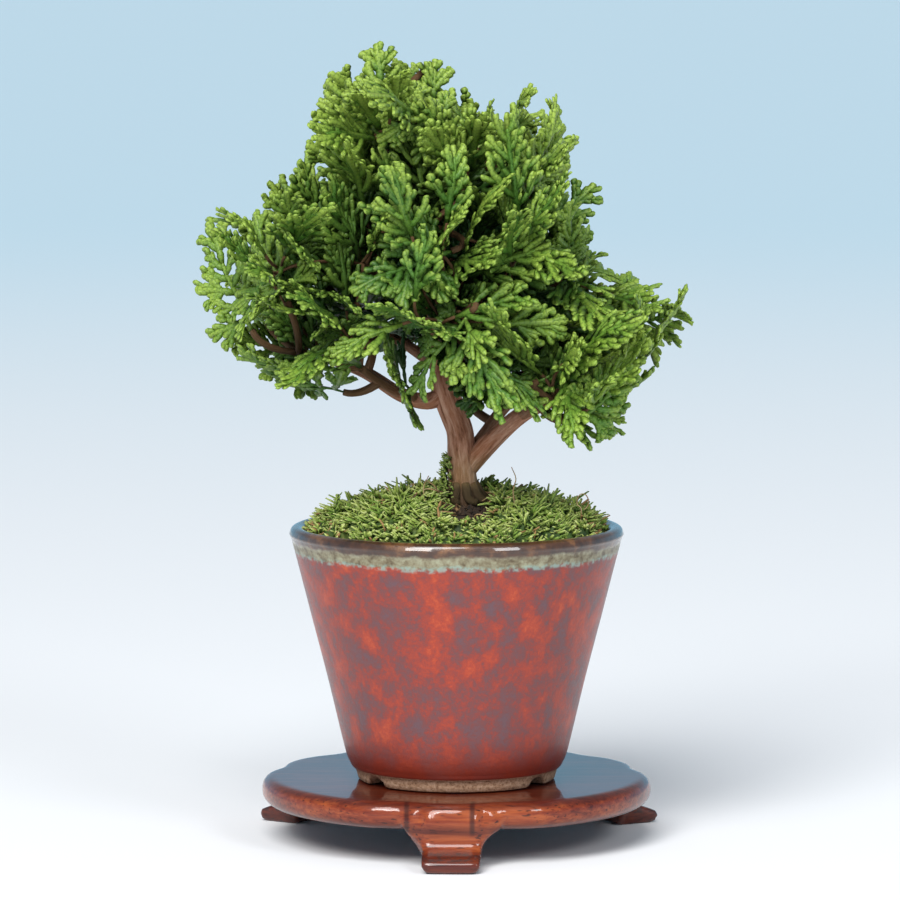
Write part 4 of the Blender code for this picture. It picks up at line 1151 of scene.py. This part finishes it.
def moss_top(x, y):
    """Height over the pot's base: the dome, long waves, clumps, and a dip before the trunk."""
    dome = ground_height(np.hypot(x, y)) - 0.9
    waves = (np.sin(0.62 * x + 0.3 * y) + np.sin(0.55 * y - 0.37 * x + 1.9)
             + 0.7 * np.sin(0.9 * x - 0.8 * y + 0.7))
    clumps = np.sin(1.25 * x + 1.6 * np.sin(0.45 * y)) * np.sin(1.1 * y + 1.4 * np.sin(0.5 * x + 1.0))
    fine = np.sin(3.1 * x + 1.3 * y + 0.5) * np.sin(2.9 * y - 1.1 * x)
    return dome + 0.35 * waves + 1.5 * clumps + 0.2 * fine - 3.4 * hollow_share(x, y)


def bare_radius(turn):
    """The bare patch round the trunk's foot: ragged, and reaching farther towards the front."""
    ragged = 1 + 0.08 * np.sin(5 * turn + 1) + 0.06 * np.sin(9 * turn) + 0.04 * np.sin(17 * turn + 2)
    front = np.exp(-(((turn + math.pi / 2 + math.pi) % (2 * math.pi) - math.pi) / 0.75) ** 2)
    return BARE_RADIUS * (0.72 + 0.8 * front) * ragged


def build_cushion():
    """The moss from the bare patch to the rim, as a grid of rings with a flat underside."""
    turn = np.arange(MOSS_STEPS) / MOSS_STEPS * 2 * math.pi - math.pi
    share = np.linspace(0, 1, MOSS_RINGS)[:, None, None]
    around = np.stack([np.cos(turn), np.sin(turn)], 1)
    inner = BARE + around * bare_radius(turn)[:, None]
    outer = around * (MOSS_EDGE + 0.25 * np.sin(23 * turn))[:, None]
    flat = inner[None] * (1 - share) + outer[None] * share
    z = moss_top(flat[..., 0], flat[..., 1])
    z[-4:] -= np.array((0.1, 0.3, 0.7, 1.5))[:, None]
    z[:3] -= np.array((1.8, 0.8, 0.2))[:, None]
    top = np.concatenate([flat, z[..., None]], -1)
    under = top[[-1, 0]] - np.array(((0, 0, 0.9), (0, 0, 0.4)))[:, None]
    points = np.concatenate([under[1:], top, under[:1]]).reshape(-1, 3)
    points[:, 2] += POT_BASE
    return points, ring_faces(MOSS_RINGS + 2, MOSS_STEPS)


# %% [markdown]
# ## Sprigs of moss
# All sprigs of one kind are made at once: roots, directions and lengths are rows of one array.


# %% Sprigs
def sprig_grid(roots, aims, bends, lengths, widths):
    """Three-sided leafy sprigs: the width swells and narrows from ring to ring, and the line bends over."""
    t = np.linspace(0, 1, SPRIG_RINGS)[None, :, None]
    line = roots[:, None] + lengths[:, None, None] * (aims[:, None] * t + bends[:, None] * t**2)
    side = unit(np.cross(aims, (0.31, 0.22, 0.93)))
    other = np.cross(aims, side)
    swell = np.array((0.7, 1.0, 0.55))[None, :, None]
    corner = np.arange(3) / 3 * 2 * math.pi
    half = widths[:, None, None] / 2 * swell
    points = (line[:, :, None] + (half * np.cos(corner))[..., None] * side[:, None, None]
              + (half * np.sin(corner) * 0.6)[..., None] * other[:, None, None])
    count = len(roots)
    starts = np.arange(count)[:, None] * SPRIG_RINGS * 3
    caps = np.vstack([starts + np.array((2, 1, 0)), starts + (SPRIG_RINGS - 1) * 3 + np.arange(3)])
    faces = grid_faces(SPRIG_RINGS, 3, count).tolist() + caps.tolist()
    tip = np.tile(np.repeat(np.linspace(0, 1, SPRIG_RINGS), 3), count)
    return points.reshape(-1, 3), faces, tip


def moss_sprigs():
    """Sprigs in tufts: each tuft's sprigs stand up in its middle and lean out towards its edge."""
    rng = np.random.default_rng((SEED, 7))
    tuft = rng.integers(TUFTS, size=SPRIGS)
    tuft_away = (MOSS_EDGE - 0.8) * np.sqrt((np.arange(TUFTS) + 0.5) / TUFTS) * rng.uniform(0.96, 1.04, TUFTS)
    tuft_turn = GOLDEN * np.arange(TUFTS) + rng.uniform(-0.06, 0.06, TUFTS)
    tuft_size = rng.uniform(0.6, 1.25, TUFTS)
    out = np.sqrt(rng.uniform(0, 1, SPRIGS))
    bearing = rng.uniform(-math.pi, math.pi, SPRIGS)
    size = tuft_size[tuft]
    x = (tuft_away * np.cos(tuft_turn))[tuft] + TUFT_RADIUS * size * out * np.cos(bearing)
    y = (tuft_away * np.sin(tuft_turn))[tuft] + TUFT_RADIUS * size * out * np.sin(bearing)
    from_bare = np.stack([x, y], 1) - BARE
    around = np.arctan2(from_bare[:, 1], from_bare[:, 0])
    kept = np.linalg.norm(from_bare, axis=1) > bare_radius(around) * rng.uniform(0.95, 1.06, SPRIGS)
    kept &= np.hypot(x, y) < MOSS_EDGE
    x, y, out, bearing, size, tuft = (values[kept] for values in (x, y, out, bearing, size, tuft))
    radius, count = np.hypot(x, y), len(x)
    wall = np.interp(radius, [27, MOSS_EDGE], [1, 0.5])
    bearing = bearing + rng.normal(0, 0.5, count)
    lean = np.clip(0.25 + 1.1 * out + rng.normal(0, 0.25, count), 0.05, 1.5)
    lean = lean * np.interp(radius, [29, MOSS_EDGE], [1, 0.45])
    aims = np.stack([np.sin(lean) * np.cos(bearing), np.sin(lean) * np.sin(bearing), np.cos(lean)], 1)
    bends = np.stack([np.cos(bearing), np.sin(bearing), rng.uniform(-0.9, 0.1, count)], 1)
    bends = bends * rng.uniform(0.1, 0.5, (count, 1))
    lengths = rng.uniform(2.0, 4.2, count) * size * wall * (1 - 0.6 * hollow_share(x, y + 3))
    widths = rng.uniform(0.65, 1.2, count)
    z = moss_top(x, y) - 0.7 + 0.9 * size * wall * (1 - out**2)
    z = z - np.interp(radius, [32.4, MOSS_EDGE], [0, 0.7]) + POT_BASE
    points, faces, tip = sprig_grid(np.stack([x, y, z], 1), aims, bends, lengths, widths)
    tone = np.clip(rng.uniform(0.1, 0.9, TUFTS)[tuft] + rng.normal(0, 0.18, count), 0, 1)
    dry = (rng.uniform(0, 1, count) < 0.03 + 0.08 * (radius > 29)).astype(float)
    spread = SPRIG_RINGS * 3
    return points, faces, {"tip": tip, "tone": np.repeat(tone, spread), "dry": np.repeat(dry, spread)}


def trunk_moss():
    """Sprigs that climb the left and front of the trunk's foot."""
    rng = np.random.default_rng((SEED, 10))
    count = 230
    share = rng.uniform(0, 1, count) ** 1.4
    turn = np.radians(rng.uniform(140, 250, count) - 25 * share)
    radius = 5.0 - 1.6 * share
    outward = np.stack([np.cos(turn), np.sin(turn), np.zeros(count)], 1)
    still = np.zeros(count)
    roots = outward * radius[:, None] + np.stack([still + TRUNK_X, still, 76.5 + 10.5 * share], 1)
    upward = np.stack([still, still, rng.uniform(0.2, 1.2, count)], 1)
    aims = unit(outward + upward + rng.normal(0, 0.3, (count, 3)))
    bends = rng.normal(0, 0.15, (count, 3))
    lengths, widths = rng.uniform(0.9, 2.0, count), rng.uniform(0.5, 0.9, count)
    points, faces, tip = sprig_grid(roots, aims, bends, lengths, widths)
    return points, faces, {"tip": tip, "tone": np.full(len(points), 0.45), "dry": np.zeros(len(points))}


def seedling_sprigs():
    """A tiny upright plant near the rim: a stem with short leaves all the way up."""
    rng = np.random.default_rng((SEED, 9))
    count = 22
    share = np.arange(count) / (count - 1)
    foot = np.array((-27.0, -9.0, POT_BASE + moss_top(-27.0, -9.0)))
    roots = foot + np.stack([0.9 * share**2, np.zeros(count), 6.6 * share], 1)
    bearing = GOLDEN * np.arange(count)
    aims = unit(np.stack([np.cos(bearing), np.sin(bearing), np.full(count, 0.8)], 1))
    bends = np.tile((0.0, 0.0, 0.25), (count, 1))
    lengths = 1.5 - 0.7 * share
    widths = np.full(count, 0.6)
    stem = [np.array([row]) for row in (foot, (0.1, 0.0, 1.0), (0.05, 0.0, 0.0), 6.9, 0.5)]
    made = (roots, aims, bends, lengths * rng.uniform(0.8, 1.2, count), widths)
    points, faces, tip = sprig_grid(*(np.concatenate(pair) for pair in zip(made, stem)))
    return points, faces, {"tip": tip, "tone": np.full(len(points), 0.25), "dry": np.zeros(len(points))}


# %% [markdown]
# ## The colour of the moss
# Each sprig has its own tone, and a few near the rim are dry.


# %% Moss pieces
def moss_finish():
    """Dark under and between the sprigs, partly the moss's own darker lower growth and partly painted shade,
    brighter towards their tips, and straw-coloured where dry.
    """
    moss = Finish("moss", roughness=0.7)
    tone, tip, dry = moss.attribute("tone"), moss.attribute("tip"), moss.attribute("dry")
    # Painted shade, partly the moss's own darker lower growth: the cushion and each sprig's foot take this
    # dark colour.
    deep = moss.mottled((160, 3, 0.6), ((0.35, 0.018, 0.04, 0.006), (0.55, 0.05, 0.1, 0.012),
                                        (0.72, 0.12, 0.13, 0.03)))
    bright = moss.mix(tone, (0.13, 0.23, 0.018), (0.36, 0.43, 0.075))
    colour = moss.mix(moss.step(tip, 0.0, 0.8), deep, bright)
    pale = moss.mix(moss.times(moss.step(tip, 0.6, 1.0), tone), colour, (0.5, 0.54, 0.2))
    leafy = moss.times(moss.step(moss.noise(1700, 2, 0.6), 0.5, 0.36), 0.45)
    pale = moss.mix(leafy, pale, (0.02, 0.045, 0.006))
    moss.feed("Base Color", moss.mix(dry, pale, (0.3, 0.17, 0.06)))
    return moss.material


moss_colour = moss_finish()
points, faces = build_cushion()
# All zero, so the cushion takes the dark colour: partly the moss's own lower growth, partly painted shade
# under the sprigs.
plain = dict.fromkeys(("tone", "tip", "dry"), np.zeros(len(points)))
make_piece("moss_cushion", points, faces, moss_colour, "moss", plain)
for name, grow in (("moss_sprigs", moss_sprigs), ("seedling", seedling_sprigs), ("trunk_moss", trunk_moss)):
    points, faces, values = grow()
    make_piece(name, points, faces, moss_colour, values=values)
    print(name, len(points) // (SPRIG_RINGS * 3), "sprigs")

# %% [markdown]
# ## Straws, fine roots and soil grains
# Dry straws lie in the moss near the trunk, a few wiry stems stand up, and coarse grains lie on the bare
# soil round the trunk's foot.

# %% Straws and grains
STRAWS = 46
GRAINS = 420
# Three wiry stems: x, y, height over the moss and radius at each point.
STEMS = (
    ((13.0, -6.0, -2.0, 0.2), (12.6, -6.0, 2.0, 0.17), (13.2, -6.2, 4.6, 0.13), (12.2, -6.2, 7.2, 0.1)),
    ((-6.5, -7.0, -2.0, 0.2), (-7.4, -7.4, 2.4, 0.15), (-6.2, -7.6, 5.4, 0.1)),
    ((-3.2, -6.0, -2.0, 0.22), (-4.6, -6.6, 2.6, 0.16), (-7.0, -7.0, 4.4, 0.1)),
)


def straw_paths(rng):
    """Bent straws in and round the hollow, then the wiry stems and a looped one."""
    paths = []
    for _ in range(STRAWS):
        turn, away = rng.uniform(-math.pi, math.pi), rng.uniform(3.5, 15)
        x, y = BARE[0] + away * math.cos(turn), BARE[1] + away * math.sin(turn)
        low = POT_BASE + (moss_top(x, y) if away > 7 else ground_height(8) - 3.6)
        bearing, length = rng.uniform(-math.pi, math.pi), rng.uniform(3, 7.5)
        rise = rng.uniform(0.2, 2.6)
        half = 0.5 * length
        rows = [(x, y, low - 0.6, 0.24),
                (x + half * math.cos(bearing), y + half * math.sin(bearing), low + rise, 0.2),
                (x + length * math.cos(bearing + 0.5), y + length * math.sin(bearing + 0.5),
                 low + rise * 0.5, 0.12)]
        paths.append(smooth_path(rows, 3))
    high = POT_BASE + 63.5
    paths += [smooth_path([(x, y, high + z, radius) for x, y, z, radius in stem], 4) for stem in STEMS]
    loop = [(28.0 + 1.3 * math.sin(turn), -9, high - 0.2 + 1.4 * math.cos(turn) * (1 + 0.2 * turn / 5), 0.13)
            for turn in np.linspace(3.4, 9.2, 8)]
    paths.append(smooth_path([(27.6, -9, high - 4.5, 0.16)] + loop, 3))
    return paths


def soil_grains(rng):
    """Crumbs as small uneven octahedra, on the soil in the bare patch."""
    turn, away = rng.uniform(-math.pi, math.pi, GRAINS), BARE_RADIUS * np.sqrt(rng.uniform(0.1, 1.15, GRAINS))
    centre = np.stack([BARE[0] + away * np.cos(turn), BARE[1] + away * np.sin(turn)], 1)
    z = ground_height(np.hypot(*centre.T)) - MOSS_THICKNESS - GAP + rng.uniform(0, 0.5, GRAINS) + POT_BASE
    corners = np.array(((1, 0, 0), (0, 1, 0), (-1, 0, 0), (0, -1, 0), (0, 0, 1), (0, 0, -1)), float)
    size = rng.uniform(0.35, 1.0, (GRAINS, 1, 1)) * rng.uniform(0.6, 1.2, (GRAINS, 6, 1))
    middle = np.concatenate([centre, z[:, None]], 1)[:, None]
    points = middle + corners[None] * size + rng.normal(0, 0.08, (GRAINS, 6, 3))
    triangles = [(i, (i + 1) % 4, 4) for i in range(4)] + [((i + 1) % 4, i, 5) for i in range(4)]
    faces = (np.arange(GRAINS)[:, None, None] * 6 + np.array(triangles)[None]).reshape(-1, 3)
    return points.reshape(-1, 3), faces


def straw_finish():
    """Dry straw, from dark brown to pale yellow."""
    straw = Finish("straw", roughness=0.6)
    straw.feed("Base Color", straw.mottled((260, 2), ((0.35, 0.09, 0.04, 0.02), (0.5, 0.3, 0.17, 0.07),
                                                      (0.66, 0.5, 0.37, 0.18))))
    return straw.material


def soil_finish():
    """Dark grains with a rough bump."""
    soil = Finish("soil", roughness=0.95)
    grains = soil.noise(700, 4, 0.7)
    soil.feed("Base Color", soil.ramp(grains, ((0.35, 0.012, 0.008, 0.005), (0.55, 0.05, 0.028, 0.016),
                                               (0.75, 0.17, 0.1, 0.06))))
    soil.bump(grains, 0.0008, 1.0)
    return soil.material


litter_rng = np.random.default_rng((SEED, 8))
points, faces, *_ = tubes([(path, 5, 0.0) for path in straw_paths(litter_rng)])
make_piece("straws", points, faces, straw_finish())
earth = soil_finish()
points, faces = soil_grains(litter_rng)
make_piece("soil_grains", points, faces, earth, smooth=False)

# %% [markdown]
# ## Soil and drain mesh
# These two stay the CAD model's own solids. Granular soil fills the pot, and the net lies over the drain
# hole.

# %% Soil and net
def net_finish():
    """Matt black plastic."""
    net = Finish("black_net", roughness=0.5)
    net.shader.inputs["Base Color"].default_value = (0.015, 0.016, 0.017, 1)
    return net.material


for name, finish in (("soil", earth), ("drain_mesh", net_finish())):
    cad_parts[name].data.materials.clear()
    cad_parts[name].data.materials.append(finish)

# %% [markdown]
# ## Floor, light and camera
# A pale floor and a broad soft light, as in a studio. The camera stands where the photograph's did: about
# 1.2 m away with a long lens, looking down by nearly six degrees.

# %% Studio
CAMERA_DISTANCE = 1.2
CAMERA_PITCH = 5.75
CAMERA_AIM = (-1.46, 0.0, 88.4)
CAMERA_LENS = 214.7


def pale_floor():
    """A wide white floor that turns pale blue far behind the pot."""
    mesh = bpy.data.meshes.new("floor")
    mesh.from_pydata([(-30, -10, 0), (30, -10, 0), (30, 50, 0), (-30, 50, 0)], [], [(0, 1, 2, 3)])
    paper = Finish("floor", roughness=0.8)
    far = paper.step(paper.place_along("Y"), 0.1, 2.5)
    paper.feed("Base Color", paper.mix(far, (0.86, 0.87, 0.88), (0.6, 0.78, 0.87)))
    paper.shader.inputs["Specular IOR Level"].default_value = 0.1
    mesh.materials.append(paper.material)
    floor = bpy.data.objects.new("floor", mesh)
    bpy.context.scene.collection.objects.link(floor)


def area_light(name, place, size, power, colour):
    """A soft box that points at the middle of the object."""
    data = bpy.data.lights.new(name, "AREA")
    data.shape = "RECTANGLE"
    data.size, data.size_y = size
    data.energy = power
    data.color = colour
    lamp = bpy.data.objects.new(name, data)
    lamp.location = place
    lamp.rotation_euler = (Vector((0, 0, 0.09)) - Vector(place)).to_track_quat("-Z", "Y").to_euler()
    bpy.context.scene.collection.objects.link(lamp)


def sun_light(place, strength, spread):
    """A broad light from one direction, spread over an angle in degrees."""
    data = bpy.data.lights.new("daylight", "SUN")
    data.energy = strength
    data.angle = math.radians(spread)
    lamp = bpy.data.objects.new("daylight", data)
    lamp.rotation_euler = (-Vector(place)).to_track_quat("-Z", "Y").to_euler()
    bpy.context.scene.collection.objects.link(lamp)


def sky():
    """Light from all round: blue near the horizon and grey higher up."""
    world = bpy.data.worlds.new("studio")
    world.use_nodes = True
    tree = world.node_tree
    background = tree.nodes["Background"]
    split = tree.nodes.new("ShaderNodeSeparateXYZ")
    tree.links.new(tree.nodes.new("ShaderNodeTexCoord").outputs["Generated"], split.inputs["Vector"])
    ramp = tree.nodes.new("ShaderNodeValToRGB")
    ramp.color_ramp.elements[0].position = 0.16
    ramp.color_ramp.elements[0].color = (0.36, 0.7, 0.95, 1)
    ramp.color_ramp.elements[1].position = 0.4
    ramp.color_ramp.elements[1].color = (0.34, 0.36, 0.4, 1)
    tree.links.new(split.outputs["Z"], ramp.inputs["Fac"])
    tree.links.new(ramp.outputs["Color"], background.inputs["Color"])
    background.inputs["Strength"].default_value = 0.8
    bpy.context.scene.world = world


def set_camera():
    """The camera looks at its aim from its distance, pitched down by its angle."""
    data = bpy.data.cameras.new("photograph")
    data.lens = CAMERA_LENS
    data.sensor_width = 36
    camera = bpy.data.objects.new("photograph", data)
    aim = Vector((np.array(CAMERA_AIM) + AXIS) * MM)
    pitch = math.radians(CAMERA_PITCH)
    camera.location = aim + Vector((0, -math.cos(pitch), math.sin(pitch))) * CAMERA_DISTANCE
    camera.rotation_euler = (math.pi / 2 - pitch, 0, 0)
    bpy.context.scene.collection.objects.link(camera)
    bpy.context.scene.camera = camera


pale_floor()
sky()
bpy.context.scene.view_settings.view_transform = "Standard"
sun_light((-0.22, -0.85, 1.0), 2.5, 32)
area_light("left box", (-0.4, -0.8, 0.62), (0.3, 0.25), 4, (1.0, 0.98, 0.95))
area_light("right box", (0.55, -0.75, 0.6), (0.3, 0.25), 3, (0.95, 0.98, 1.0))
set_camera()
print("camera at", [round(value, 3) for value in bpy.context.scene.camera.location])
